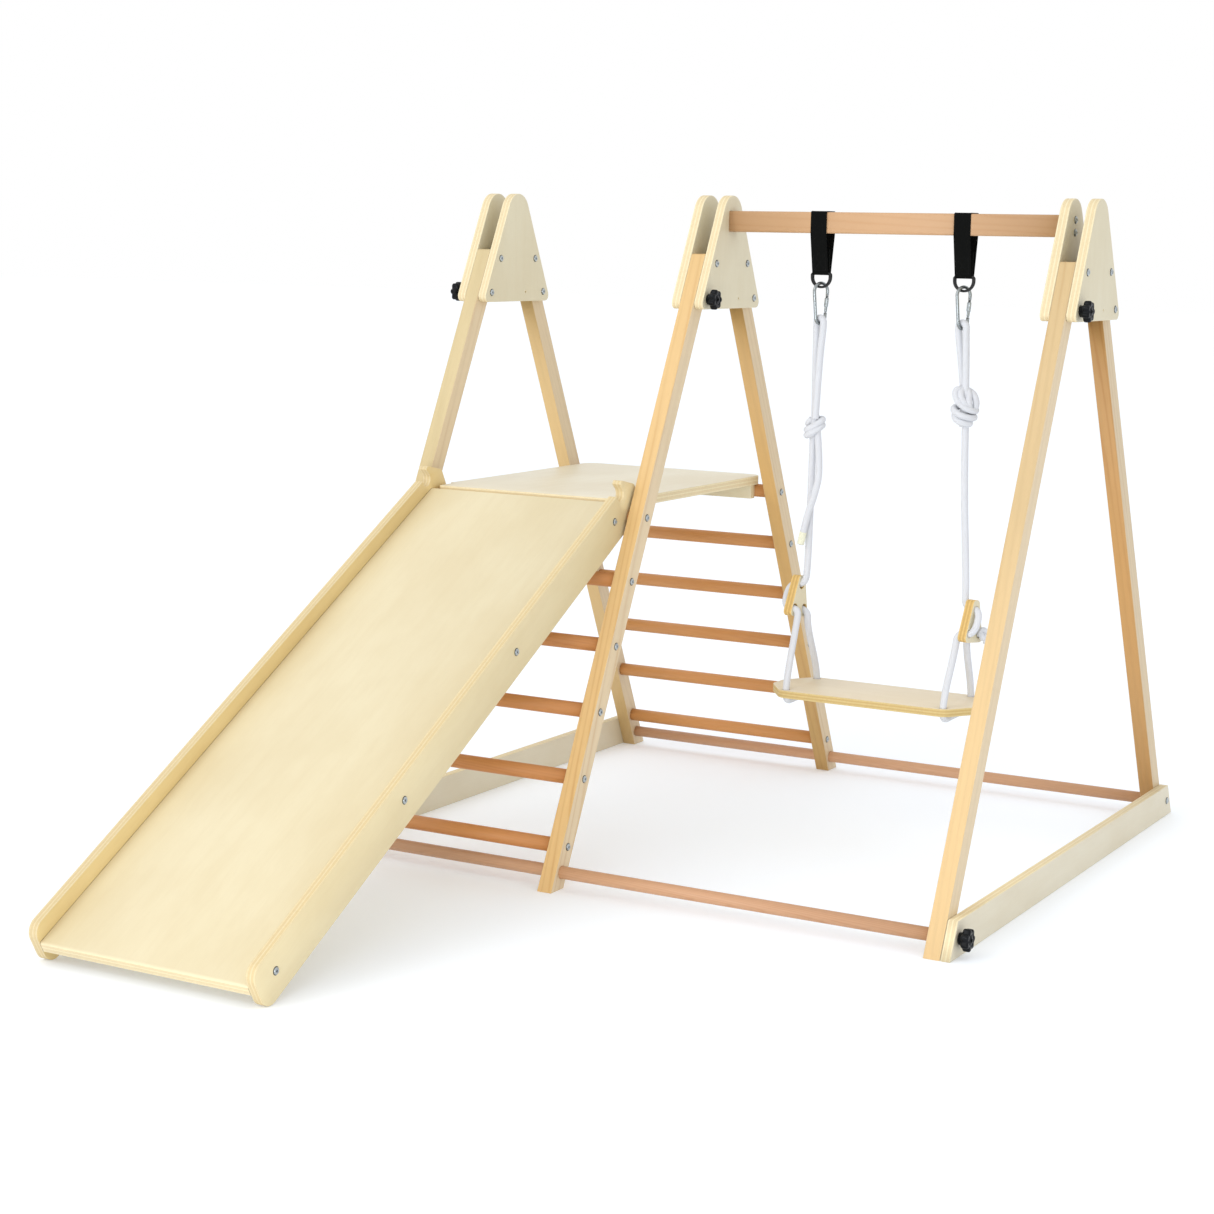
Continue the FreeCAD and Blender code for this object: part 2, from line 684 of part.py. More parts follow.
def make_slide():
    half = "Dims.slide_width / 2"
    make_rail("slide_left_rail", f"{LADDER_MIDDLE} - {half}")
    make_rail("slide_right_rail", f"{LADDER_MIDDLE} + {half} - Dims.rail_ply")
    bed = new_body("slide_bed")
    sketch = new_sketch(bed, "YZ_Plane")
    polygon(sketch, [
        ("-Dims.rail_toe", "Dims.bed_low"),
        ("Dims.bed_head", "Dims.bed_low"),
        ("Dims.bed_head", "Dims.bed_low + Dims.ply"),
        ("-Dims.rail_toe", "Dims.bed_low + Dims.ply"),
    ])
    board = pad(bed, sketch, "Dims.slide_width - 2 * Dims.rail_ply")
    high = dim("bed_low") + dim("ply")
    round_edges(bed, board, [Vector(0, -dim("rail_toe"), high)], "5")
    place_on_slope(bed, f"{LADDER_MIDDLE} - {half} + Dims.rail_ply")


# ---------------------------------------------------------------- tubes along a path

def rounded_path(points, radii=None):
    """Straight runs joined by tangent arcs; returns the wire and the radii used."""
    radii = radii or {}
    edges = []
    used = []
    start = points[0]
    for index in range(1, len(points) - 1):
        before, corner, after = points[index - 1], points[index], points[index + 1]
        incoming, outgoing = corner - before, after - corner
        shorter = min(incoming.Length, outgoing.Length)
        turn = incoming.getAngle(outgoing)
        radius = radii.get(index, 0.45 * shorter / math.tan(turn / 2))
        setback = radius * math.tan(turn / 2)
        first = corner - Vector(incoming).normalize() * setback
        last = corner + Vector(outgoing).normalize() * setback
        bisector = (Vector(outgoing).normalize() - Vector(incoming).normalize()).normalize()
        centre = corner + bisector * (radius / math.cos(turn / 2))
        middle = centre - bisector * radius
        if (first - start).Length > 1e-6:
            edges.append(Part.LineSegment(start, first).toShape())
        edges.append(Part.Arc(first, middle, last).toShape())
        used.append(round(radius, 1))
        start = last
    edges.append(Part.LineSegment(start, points[-1]).toShape())
    return Part.Wire(edges), used


def tube(wire, radius):
    """A round rod swept along a wire, checked against its section times its length."""
    first = wire.OrderedEdges[0]
    start = first.valueAt(first.FirstParameter)
    heading = first.tangentAt(first.FirstParameter)
    ring = Part.Wire([Part.makeCircle(radius, start, heading)])
    solid = wire.makePipeShell([ring], True, False, 2)
    expected = math.pi * radius ** 2 * wire.Length
    if abs(solid.Volume - expected) > 0.02 * expected:
        raise RuntimeError(f"tube volume {solid.Volume:.0f}, expected {expected:.0f}")
    return solid


# ---------------------------------------------------------------- swing

STRAP_FOOT_Z = 1148.0
RING_RADIUS = 2.4
RING_HALF = 19.3
RING_SIDE = 8.0
RING_OUT = 3.6              # a ring's straight side, from the middle of the strap
RING_PIVOT_Z = STRAP_FOOT_Z - RING_SIDE - RING_HALF
HOOK_WIRE = 3.25
HOOK_TOP_Z = RING_PIVOT_Z + RING_RADIUS + HOOK_WIRE + 2.3
HOOK_HEIGHT = 80.5
HOOK_TOP_RADIUS = 16.5
HOOK_FOOT_RADIUS = 11.4
HOOK_YAW = 62.0
GATE_FROM, GATE_TO = 0.22, 0.88     # the gate's ends, as shares of the hook's side from its foot
GATE_GAP = 0.4
ROPE = dim("rope_radius")


def make_strap(label, sign):
    """Webbing over the bar, both of its ends folded round a D-ring."""
    body = new_body(label)
    sketch = new_sketch(body, "YZ_Plane")
    half = "Dims.bar_depth / 2"
    top = "Dims.bar_z + Dims.bar_height / 2"
    low = "Dims.bar_z - Dims.bar_height / 2"
    foot = f"{STRAP_FOOT_Z}"
    outer = [
        ("7.0", f"{foot} - 4"),
        ("7.4", f"{foot} + 4"),
        (f"{half} + 2.6", low),
        (f"{half} + 2.6", f"{top} + 2.1"),
    ]
    inner = [
        (f"{half} + 0.3", f"{top} + 0.3"),
        (f"{half} + 0.3", f"{low} - 0.4"),
        ("0.3", f"{foot} + 5"),
        ("0.3", f"{foot} - 4"),
    ]
    right = outer + inner
    left = [(f"-({across})", up) for across, up in right]
    polygon(sketch, outer + [left[3], left[2], left[1], left[0], left[7], left[6], left[5], left[4]] + inner)
    band = pad(body, sketch, "Dims.strap_width")
    eyes = new_sketch(body, "YZ_Plane")
    for across in (-RING_OUT, RING_OUT):
        circle(eyes, f"{across}", foot, f"{RING_RADIUS + 0.1}")
    cut_through(body, eyes)
    shift = f"{sign} * Dims.hanger_out - Dims.strap_width / 2"
    place(body, f"{swing_x} + {shift}")
    return band


def ring_shape(x, sign):
    """One D-ring; its seam is in the middle of the bar inside the webbing."""
    seam = 0.2
    top, low = 0.0, -RING_SIDE
    points = [
        Vector(seam, 0, top),
        Vector(RING_HALF, 0, top),
        Vector(RING_HALF, 0, low - RING_HALF),
        Vector(-RING_HALF, 0, low - RING_HALF),
        Vector(-RING_HALF, 0, top),
        Vector(-seam, 0, top),
    ]
    radii = {1: 4.0, 2: RING_HALF - 0.05, 3: RING_HALF - 0.05, 4: 4.0}
    wire, _ = rounded_path(points, radii)
    ring = tube(wire, RING_RADIUS)
    hang = RING_SIDE + RING_HALF
    tilt = math.degrees(math.atan2(RING_OUT - RING_RADIUS - 0.15, hang))
    ring.Placement = Placement(Vector(x, sign * RING_OUT, STRAP_FOOT_Z), Rotation(X_AXIS, -sign * tilt))
    return ring


def make_rings():
    rings = []
    for side in (-1, 1):
        x = swing_x + side * dim("hanger_out")
        for sign in (-1, 1):
            rings.append(ring_shape(x, sign))
    solid_group("d_rings", rings)


def hook_outline():
    """Ends of the straight side of the pear-shaped snap hook, in its own plane."""
    upper = Vector(0, 0, HOOK_TOP_Z - HOOK_TOP_RADIUS)
    lower = Vector(0, 0, HOOK_TOP_Z - HOOK_HEIGHT + HOOK_FOOT_RADIUS)
    spread = math.asin((HOOK_TOP_RADIUS - HOOK_FOOT_RADIUS) / (upper.z - lower.z))
    lean = Vector(math.cos(spread), 0, -math.sin(spread))
    return upper, lower, upper + lean * HOOK_TOP_RADIUS, lower + lean * HOOK_FOOT_RADIUS


def mirrored(point):
    return Vector(-point.x, point.y, point.z)


def hook_shapes():
    """The hook's body with its gap, and the gate that closes it, round where it turns."""
    upper, lower, high, low = hook_outline()
    side = high - low
    gate_low = low + side * GATE_FROM
    gate_high = low + side * GATE_TO
    foot = lower - Vector(0, 0, HOOK_FOOT_RADIUS)
    crown = upper + Vector(0, 0, HOOK_TOP_RADIUS)
    edges = [
        Part.LineSegment(gate_low, low).toShape(),
        Part.Arc(low, foot, mirrored(low)).toShape(),
        Part.LineSegment(mirrored(low), mirrored(high)).toShape(),
        Part.Arc(mirrored(high), crown, high).toShape(),
        Part.LineSegment(high, gate_high).toShape(),
    ]
    body = tube(Part.Wire(edges), HOOK_WIRE)
    heading = Vector(side).normalize()
    rod = HOOK_WIRE - 0.4
    pivot = gate_low + heading * (rod + GATE_GAP)
    gate = Part.makeCylinder(rod, (gate_high - pivot).Length - 0.5, pivot, heading)
    return body, gate.fuse(Part.makeSphere(rod, pivot)).removeSplitter()


def make_hooks():
    for name, side in (("left", -1), ("right", 1)):
        x = swing_x + side * dim("hanger_out")
        for label, shape in zip((f"{name}_snap_hook", f"{name}_hook_gate"), hook_shapes()):
            piece = doc.addObject("Part::Feature", label)
            piece.Label = label
            piece.Shape = shape
            piece.Placement = Placement(ridge + Vector(x, 0, 0), Rotation(Z_AXIS, HOOK_YAW))
            parts[label] = piece


UPPER_HOLE_Z, LOWER_HOLE_Z = 22, -24     # an adjuster's rope holes, from its middle
LOWER_HOLE_Y = 16.5


def adjuster_spin(name):
    """How an adjuster has swung round and leant over on its rope."""
    return Rotation(dim(f"{name}_adjuster_turn"), 0, -dim(f"{name}_adjuster_lean"))


def make_adjuster(name, side):
    """A three-hole wooden plate that the rope is reeved through."""
    body = new_body(f"{name}_adjuster")
    sketch = new_sketch(body, "YZ_Plane")
    foot, head, half = 32, 9.5, 41.5
    corners = ((-foot, -half), (foot, -half), (head, half), (-head, half))
    polygon(sketch, [(f"{across}", f"{up}") for across, up in corners])
    plate = pad(body, sketch, "Dims.ply")
    feet = [Vector(0, turn * foot, -half) for turn in (-1, 1)]
    plate = round_edges(body, plate, feet, "9")
    heads = [Vector(0, turn * head, half) for turn in (-1, 1)]
    plate = round_edges(body, plate, heads, "8")
    holes = new_sketch(body, "YZ_Plane")
    for across, up in ((0, UPPER_HOLE_Z), (-LOWER_HOLE_Y, LOWER_HOLE_Z), (LOWER_HOLE_Y, LOWER_HOLE_Z)):
        circle(holes, f"{across}", f"{up}", "Dims.hole_radius")
    plate = cut_through(body, holes)
    soften(body, plate, 1)
    turn = f"Dims.{name}_adjuster_turn"
    body.Placement = Placement(Vector(0, 0, 0), adjuster_spin(name))
    middle = f"{swing_x} + {side} * Dims.{name}_adjuster_out"
    x_text = f"{middle} - Dims.ply / 2 * cos({turn})"
    y_text = f"Dims.ridge_y - Dims.ply / 2 * sin({turn})"
    place(body, x_text, y_text, f"Dims.{name}_adjuster_z")


def make_seat():
    """A thin board with tapered ends and four rope holes."""
    body = new_body("swing_seat")
    sketch = new_sketch(body, "XY_Plane")
    end, shoulder = "Dims.seat_length / 2", "(Dims.seat_length / 2 - 45)"
    edge, nose = "Dims.seat_depth / 2", "25"
    quarter = [(shoulder, edge), (end, nose)]
    corners = []
    for turn_x, turn_y, order in ((1, 1, 1), (1, -1, -1), (-1, -1, 1), (-1, 1, -1)):
        for across, up in quarter[::order]:
            corners.append((f"{turn_x} * {across}", f"{turn_y} * {up}"))
    polygon(sketch, corners)
    board = pad(body, sketch, "Dims.seat_ply")
    end_at, edge_at = dim("seat_length") / 2, dim("seat_depth") / 2
    spots = []
    for turn_x in (-1, 1):
        for turn_y in (-1, 1):
            spots.append(Vector(turn_x * (end_at - 45), turn_y * edge_at, 0))
            spots.append(Vector(turn_x * end_at, turn_y * 25, 0))
    board = round_edges(body, board, spots, "28", Z_AXIS)
    holes = new_sketch(body, "XY_Plane")
    for turn_x in (-1, 1):
        for turn_y in (-1, 1):
            spot = (f"{turn_x} * Dims.seat_hole_out", f"{turn_y} * Dims.seat_hole_y")
            circle(holes, *spot, "Dims.hole_radius")
    cut_through(body, holes)
    place(body, f"{swing_x}", "Dims.ridge_y", "Dims.seat_top - Dims.seat_ply")


# ---------------------------------------------------------------- ropes

HOOK_FOOT_Z = HOOK_TOP_Z - HOOK_HEIGHT
OVER_WIRE = HOOK_WIRE + ROPE + 1.3


def swing_point(side, out, y, z):
    return Vector(swing_x + side * out, y, z)


def adjuster_point(name, side, out, y, z):
    """A point beside an adjuster, in the hanging plate's own directions."""
    middle = swing_point(side, dim(f"{name}_adjuster_out"), 0, dim(f"{name}_adjuster_z"))
    return middle + adjuster_spin(name).multVec(Vector(side * out, y, z))


def across_hook(side, offset, z):
    """A point at an offset from the hook's plane, under the hook's middle."""
    yaw = math.radians(HOOK_YAW)
    x = swing_x + side * dim("hanger_out") - offset * math.sin(yaw)
    return Vector(x, offset * math.cos(yaw), z)


def eye_route(name, side):
    """From the knot up over the hook's wire and back down to the knot."""
    high = HOOK_FOOT_Z + OVER_WIRE
    neck = dim(f"{name}_knot_z") + 15
    aside = Vector(side * (dim(f"{name}_knot_out") - dim("hanger_out")), 0, 0)
    return [
        across_hook(side, -ROPE - 0.6, neck) + aside,
        across_hook(side, -OVER_WIRE, high),
        across_hook(side, OVER_WIRE, high),
        across_hook(side, ROPE + 0.6, neck) + aside,
    ]


def tail_route(side, knot_z):
    """The loose end below the knot, hanging in front of the main rope."""
    return [
        swing_point(side, 142, -3, knot_z - 18),
        swing_point(side, 136, -9, knot_z - 85),
        swing_point(side, 143, -14, knot_z - 132),
        swing_point(side, 161, -15, knot_z - 185),
        swing_point(side, 173, -13, knot_z - 239),
    ]


def main_route(name, side):
    """From the knot through the adjuster, under the seat and back up to it."""
    knot_z, knot_out = dim(f"{name}_knot_z"), dim(f"{name}_knot_out")
    outside = dim("ply") / 2 + ROPE + 0.5
    inside = -outside
    hole_out, hole_y = dim("seat_hole_out"), dim("seat_hole_y")
    under = dim("seat_top") - dim("seat_ply") - ROPE - 0.5
    return [
        swing_point(side, knot_out + 3, 0, knot_z - 15),
        swing_point(side, knot_out + 4, 0, knot_z - 140),
        adjuster_point(name, side, inside - 1.5, 0, UPPER_HOLE_Z + 60),
        adjuster_point(name, side, inside, 0, UPPER_HOLE_Z),
        adjuster_point(name, side, outside, 0, UPPER_HOLE_Z),
        adjuster_point(name, side, outside, -LOWER_HOLE_Y, LOWER_HOLE_Z),
        adjuster_point(name, side, inside, -LOWER_HOLE_Y, LOWER_HOLE_Z),
        adjuster_point(name, side, inside - 2, -LOWER_HOLE_Y - 3, LOWER_HOLE_Z - 34),
        swing_point(side, hole_out, -hole_y, under + 48),
        swing_point(side, hole_out, -hole_y, under),
        swing_point(side, hole_out, hole_y, under),
        swing_point(side, hole_out, hole_y, under + 48),
        adjuster_point(name, side, inside - 2, LOWER_HOLE_Y + 3, LOWER_HOLE_Z - 34),
        adjuster_point(name, side, inside, LOWER_HOLE_Y, LOWER_HOLE_Z),
        adjuster_point(name, side, outside - 3, LOWER_HOLE_Y, LOWER_HOLE_Z),
    ]


EDGE_BEND = 9.0


def rope_piece(label, points, radii=None):
    wire, used = rounded_path(points, radii)
    print(label, "length", round(wire.Length, 1), "radii", used)
    solid_group(label, [tube(wire, ROPE)])


def knot_shape(centre, width, height):
    """A plain egg that holds the space of a tied knot."""
    ball = Part.makeSphere(10)
    matrix = FreeCAD.Matrix()
    matrix.scale(width / 20, width / 20, height / 20)
    matrix.move(centre)
    return ball.transformGeometry(matrix)


def make_ropes():
    stoppers = []
    for name, side in (("left", -1), ("right", 1)):
        knot_z, knot_out = dim(f"{name}_knot_z"), dim(f"{name}_knot_out")
        round_wire = {1: OVER_WIRE - 0.6, 2: OVER_WIRE - 0.6}
        rope_piece(f"{name}_rope_eye", eye_route(name, side), round_wire)
        tight = {corner: EDGE_BEND for corner in (3, 4, 5, 6, 9, 10, 13)}
        rope_piece(f"{name}_rope", main_route(name, side), tight)
        knot = knot_shape(swing_point(side, knot_out, 0, knot_z), 44, 60)
        solid_group(f"{name}_rope_knot", [knot])
        beside = adjuster_point(name, side, dim("ply") / 2 + 9.5, LOWER_HOLE_Y, LOWER_HOLE_Z)
        stoppers.append(knot_shape(beside, 19, 24))
    rope_piece("left_rope_tail", tail_route(-1, dim("left_knot_z")))
    solid_group("stopper_knots", stoppers)


def make_swing():
    make_strap("left_strap", -1)
    make_strap("right_strap", 1)
    make_rings()
    make_hooks()
    make_adjuster("left", -1)
    make_adjuster("right", 1)
    make_seat()
    make_ropes()


# ---------------------------------------------------------------- export

def check_document():
    doc.recompute()
    for item in doc.Objects:
        if "Invalid" in item.State or "Error" in item.State:
            raise RuntimeError(f"{item.Label} failed: {item.State}")
    for label, item in parts.items():
        if item.Shape.isNull() or not item.Shape.isValid() or not item.Shape.Solids:
            raise RuntimeError(f"{label} has no valid solid")


def export_parts():
    os.makedirs("parts", exist_ok=True)
    whole = FreeCAD.BoundBox()
    for label, item in parts.items():
        item.Shape.exportStep(f"parts/{label}.step")
        whole.add(item.Shape.BoundBox)
    print(len(parts), "nodes")
    print("box size", round(whole.XLength, 1), round(whole.YLength, 1), round(whole.ZLength, 1))


make_frames()
make_fasteners()
make_knobs()
make_platform()
make_slide()
make_swing()
check_document()
export_parts()
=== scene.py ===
import math
from collections import namedtuple

import bmesh
import bpy
import numpy as np
from mathutils import Euler, Matrix, Vector


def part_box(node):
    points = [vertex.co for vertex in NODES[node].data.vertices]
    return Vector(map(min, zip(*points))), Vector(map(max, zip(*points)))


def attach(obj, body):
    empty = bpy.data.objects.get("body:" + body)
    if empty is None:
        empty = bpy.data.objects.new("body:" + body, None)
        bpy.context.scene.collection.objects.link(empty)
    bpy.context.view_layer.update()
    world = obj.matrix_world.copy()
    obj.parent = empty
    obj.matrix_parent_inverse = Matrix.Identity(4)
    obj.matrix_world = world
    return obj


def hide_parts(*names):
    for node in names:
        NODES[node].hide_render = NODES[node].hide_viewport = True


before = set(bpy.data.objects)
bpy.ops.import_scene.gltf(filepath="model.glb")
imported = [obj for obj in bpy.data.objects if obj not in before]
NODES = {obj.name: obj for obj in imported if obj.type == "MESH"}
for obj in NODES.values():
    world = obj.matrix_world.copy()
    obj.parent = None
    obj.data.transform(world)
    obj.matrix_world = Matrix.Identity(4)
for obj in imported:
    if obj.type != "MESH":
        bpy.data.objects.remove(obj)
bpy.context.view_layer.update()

# The set's dimensions in millimetres, with Y measured from the A-frames' ridge.
MM = 0.001
RIDGE_Y = 427.1                # the ridge's place in the row frame
FRAME_X = {"left": -636, "middle": -129, "right": 636}
SWING_X = 253.5                # middle of the swing bar
LEG_WIDTH = 31
LEG_RUN = 0.4833               # run of a leg per unit of height
LEG_FOOT_Y = 655 - 45.5 / 2    # middle of a foot's flat cut
LEAN = math.atan(LEG_RUN)
PLY = 19
PLAY = 0.3                     # gap between a leg and a plate beside it
PLATE_FACE = LEG_WIDTH / 2 + PLAY + PLY
KNOB_FACE = PLATE_FACE + 0.3   # a knob's back or a pivot bolt's head, from a leg's middle
UPPER_BOLT, LOWER_BOLT = (70.3, 1163.2), (105.5, 1092)
BEAM_BOLT_Z = 33
RUNGS, RUNG_TOP, RUNG_PITCH = 6, 670, 118.8
SLOPE = math.radians(29.5)
SLIDE_X, SLIDE_WIDTH, RAIL_PLY = -382.5, 466, 18
BED_MIDDLE = 18.4 + PLY / 2    # middle of the slide's bed, above the top rung's axis
BAR_TOP, BAR_LOW = 1269.0, 1227.0
HANGER_OUT = 150.0             # straps and hooks, from the middle of the bar
STRAP_FOOT = 1148.0
RING_WIRE, RING_OUT = 2.4, 3.6    # a D-ring's wire, and its straight side from the strap's middle
HOOK_YAW = math.radians(62)
HOOK_FOOT = 1048.15            # lowest line of a snap hook's wire
ROPE_RADIUS = 7.0
SEAT_HOLE_OUT = 167
SIDES = {"left": -1, "right": 1}
RopeSet = namedtuple("RopeSet", "knot_z knot_out plate plate_z turn lean")
ROPE_SETS = {
    "left": RopeSet(843, 155, 183, 497.5, math.radians(-10), math.radians(7)),
    "right": RopeSet(897, 160, 190, 480.5, math.radians(-13), math.radians(5)),
}
UPPER_HOLE, LOWER_HOLE, LOWER_HOLE_Y = 22, -24, 16.5    # an adjuster's holes, from its middle


# ------------------------------------------------------------------ basics

def row(x, y, z):
    """A point in the row frame in metres, from millimetres with Y from the ridge."""
    return Vector((x * MM, (y + RIDGE_Y) * MM, z * MM))


def link(obj):
    bpy.context.scene.collection.objects.link(obj)
    return obj


def mesh_object(name, vertices, faces, smooth=True):
    mesh = bpy.data.meshes.new(name)
    mesh.from_pydata([tuple(v) for v in vertices], [], faces)
    mesh.update()
    if smooth:
        mesh.shade_smooth()
    return link(bpy.data.objects.new(name, mesh))


def resample(points, step):
    """Even points along a polyline."""
    points = np.asarray(points, float)
    runs = np.linalg.norm(np.diff(points, axis=0), axis=1)
    along = np.concatenate([[0], np.cumsum(runs)])
    count = max(8, int(round(along[-1] / step)))
    wanted = np.linspace(0, along[-1], count + 1)
    return np.stack([np.interp(wanted, along, points[:, k]) for k in range(3)], 1)


def transported_frames(points, closed=False):
    """Tangent, normal and binormal along a polyline, without twist."""
    if closed:
        tangents = np.roll(points, -1, 0) - np.roll(points, 1, 0)
    else:
        tangents = np.gradient(points, axis=0)
    tangents /= np.linalg.norm(tangents, axis=1)[:, None]
    normal = np.cross(tangents[0], (0.3, 0.2, 0.9))
    if np.linalg.norm(normal) < 0.2:
        normal = np.cross(tangents[0], (1.0, 0.1, 0.0))
    normal /= np.linalg.norm(normal)
    normals = [normal]
    for k in range(1, len(points)):
        normal = normals[-1] - tangents[k] * np.dot(normals[-1], tangents[k])
        normals.append(normal / np.linalg.norm(normal))
    normals = np.array(normals)
    if closed:
        last = normals[-1] - tangents[0] * np.dot(normals[-1], tangents[0])
        last /= np.linalg.norm(last)
        side = np.cross(tangents[0], normals[0])
        twist = math.atan2(np.dot(last, side), np.dot(last, normals[0]))
        share = -twist * np.arange(len(points)) / len(points)
        sides = np.cross(tangents, normals)
        normals = normals * np.cos(share)[:, None] + sides * np.sin(share)[:, None]
    return tangents, normals, np.cross(tangents, normals)


def tube(name, points, radius, around=16, relief=None, closed=False):
    """A tube round points in metres; relief(turn, along) adds to its radius."""
    points = np.asarray(points, float)
    tangents, normals, sides = transported_frames(points, closed)
    steps = np.linalg.norm(np.diff(points, axis=0), axis=1)
    along = np.concatenate([[0], np.cumsum(steps)])
    turn = np.linspace(0, 2 * math.pi, around, endpoint=False)
    radii = np.full((len(points), around), float(radius))
    if relief is not None:
        radii += relief(turn[None, :], along[:, None])
    across, aside = np.cos(turn)[None, :, None], np.sin(turn)[None, :, None]
    ring = normals[:, None] * across + sides[:, None] * aside
    vertices = (points[:, None] + ring * radii[:, :, None]).reshape(-1, 3)
    rings = len(points)
    faces = []
    for k in range(rings if closed else rings - 1):
        below, above = k * around, ((k + 1) % rings) * around
        for j in range(around):
            after = (j + 1) % around
            faces.append((below + j, below + after, above + after, above + j))
    if not closed:
        faces.append(tuple(range(around))[::-1])
        faces.append(tuple((rings - 1) * around + j for j in range(around)))
    return mesh_object(name, vertices, faces)


def join(name, objects):
    """Several loose meshes as one object."""
    out = bmesh.new()
    for obj in objects:
        obj.data.transform(obj.matrix_world)
        out.from_mesh(obj.data)
        bpy.data.objects.remove(obj)
    mesh = bpy.data.meshes.new(name)
    out.to_mesh(mesh)
    out.free()
    return link(bpy.data.objects.new(name, mesh))


def face_outwards(obj):
    """Turns every face of a mesh the right way out."""
    work = bmesh.new()
    work.from_mesh(obj.data)
    bmesh.ops.recalc_face_normals(work, faces=work.faces)
    work.to_mesh(obj.data)
    work.free()


# ------------------------------------------------------------------ camera

def make_camera():
    """At the front right, nearly as high as the set, looking slightly down at all of it."""
    yaw, pitch, roll = 0.5225, 0.1125, 0.0181
    level = math.cos(pitch)
    ahead = Vector((-math.sin(yaw) * level, math.cos(yaw) * level, -math.sin(pitch)))
    right = Vector((math.cos(yaw), math.sin(yaw), 0))
    up = right.cross(ahead)
    rolled_right = right * math.cos(roll) + up * math.sin(roll)
    rolled_up = up * math.cos(roll) - right * math.sin(roll)
    data = bpy.data.cameras.new("camera")
    camera = link(bpy.data.objects.new("camera", data))
    turn = Matrix((rolled_right, rolled_up, -ahead)).transposed().to_4x4()
    camera.matrix_world = Matrix.Translation((2.09346, -4.46732 + RIDGE_Y * MM, 1.21409)) @ turn
    data.sensor_width = 36
    data.lens = 72.1406
    data.shift_x = 0.035832
    data.shift_y = -0.079819
    data.clip_end = 200
    bpy.context.scene.camera = camera


make_camera()


# ------------------------------------------------------------------ shader helpers

class Shader:
    """A material under construction, with short ways to add and link nodes."""

    def __init__(self, name, roughness=0.5, color=(0.8, 0.8, 0.8), metallic=0.0, **sockets):
        self.material = bpy.data.materials.new(name)
        self.material.use_nodes = True
        self.tree = self.material.node_tree
        self.surface = self.tree.nodes["Principled BSDF"]
        self.surface.inputs["Base Color"].default_value = (*color, 1)
        self.surface.inputs["Roughness"].default_value = roughness
        self.surface.inputs["Metallic"].default_value = metallic
        for socket, value in sockets.items():
            self.surface.inputs[socket.replace("_", " ")].default_value = value
        self.coordinates = self.tree.nodes.new("ShaderNodeTexCoord")

    def add(self, kind, settings=None, **inputs):
        node = self.tree.nodes.new("ShaderNode" + kind)
        for name, value in (settings or {}).items():
            setattr(node, name, value)
        for name, value in inputs.items():
            key = int(name[1:]) if name[0] == "i" and name[1:].isdigit() else name.replace("_", " ")
            self.feed(node, key, value)
        return node

    def feed(self, node, key, value):
        if isinstance(value, bpy.types.NodeSocket):
            self.tree.links.new(value, node.inputs[key])
        else:
            node.inputs[key].default_value = value

    def place(self, scale=(1, 1, 1), turn=(0, 0, 0), shift=(0, 0, 0)):
        """Object coordinates, moved, turned and stretched."""
        vector = self.coordinates.outputs["Object"]
        for step in ({"Location": shift}, {"Rotation": turn}, {"Scale": scale}):
            vector = self.add("Mapping", {"vector_type": "POINT"}, Vector=vector, **step).outputs[0]
        return vector

    def noise(self, vector, scale, detail=3.0, roughness=0.5, distortion=0.0):
        node = self.add("TexNoise", None, Vector=vector, Scale=scale, Detail=detail,
                        Roughness=roughness, Distortion=distortion)
        return node.outputs[0]

    def math(self, operation, first, second=0.5):
        return self.add("Math", {"operation": operation}, i0=first, i1=second).outputs[0]

    def ramp(self, value, stops):
        node = self.add("ValToRGB", None, Fac=value)
        ramp = node.color_ramp
        ramp.interpolation = "EASE"
        while len(ramp.elements) < len(stops):
            ramp.elements.new(0.5)
        for element, (at, color) in zip(ramp.elements, stops):
            element.position = at
            element.color = (*color, 1)
        return node.outputs[0]

    def grey(self, value, low, high, bottom=0.0, top=1.0):
        """Maps a value's range to another, clamped."""
        node = self.add("MapRange", {"clamp": True}, i0=value, i1=low, i2=high, i3=bottom, i4=top)
        return node.outputs[0]

    def mix(self, share, first, second):
        node = self.add("Mix", {"data_type": "RGBA"})
        self.feed(node, 0, share)
        for key, value in ((6, first), (7, second)):
            if not isinstance(value, bpy.types.NodeSocket):
                value = (*value, 1)
            self.feed(node, key, value)
        return node.outputs[2]

    def normal_along(self, axis):
        """How squarely the surface faces an axis of the row frame, 0 to 1."""
        node = self.add("VectorMath", {"operation": "DOT_PRODUCT"},
                        i0=self.coordinates.outputs["Normal"], i1=axis)
        return self.math("ABSOLUTE", node.outputs["Value"])

    def finish(self, color=None, roughness=None, height=None, strength=0.3, distance=0.001):
        if color is not None:
            self.feed(self.surface, "Base Color", color)
        if roughness is not None:
            self.feed(self.surface, "Roughness", roughness)
        if height is not None:
            bump = self.add("Bump", None, Height=height, Strength=strength, Distance=distance)
            self.feed(self.surface, "Normal", bump.outputs[0])
        return self.material


def paint(obj, material):
    obj.data.materials.clear()
    obj.data.materials.append(material)


def scaled(color, factor):
    return tuple(min(1.0, channel * factor) for channel in color)


def tinted(color, factors):
    return tuple(a * b for a, b in zip(color, factors))


# ------------------------------------------------------------------ wood

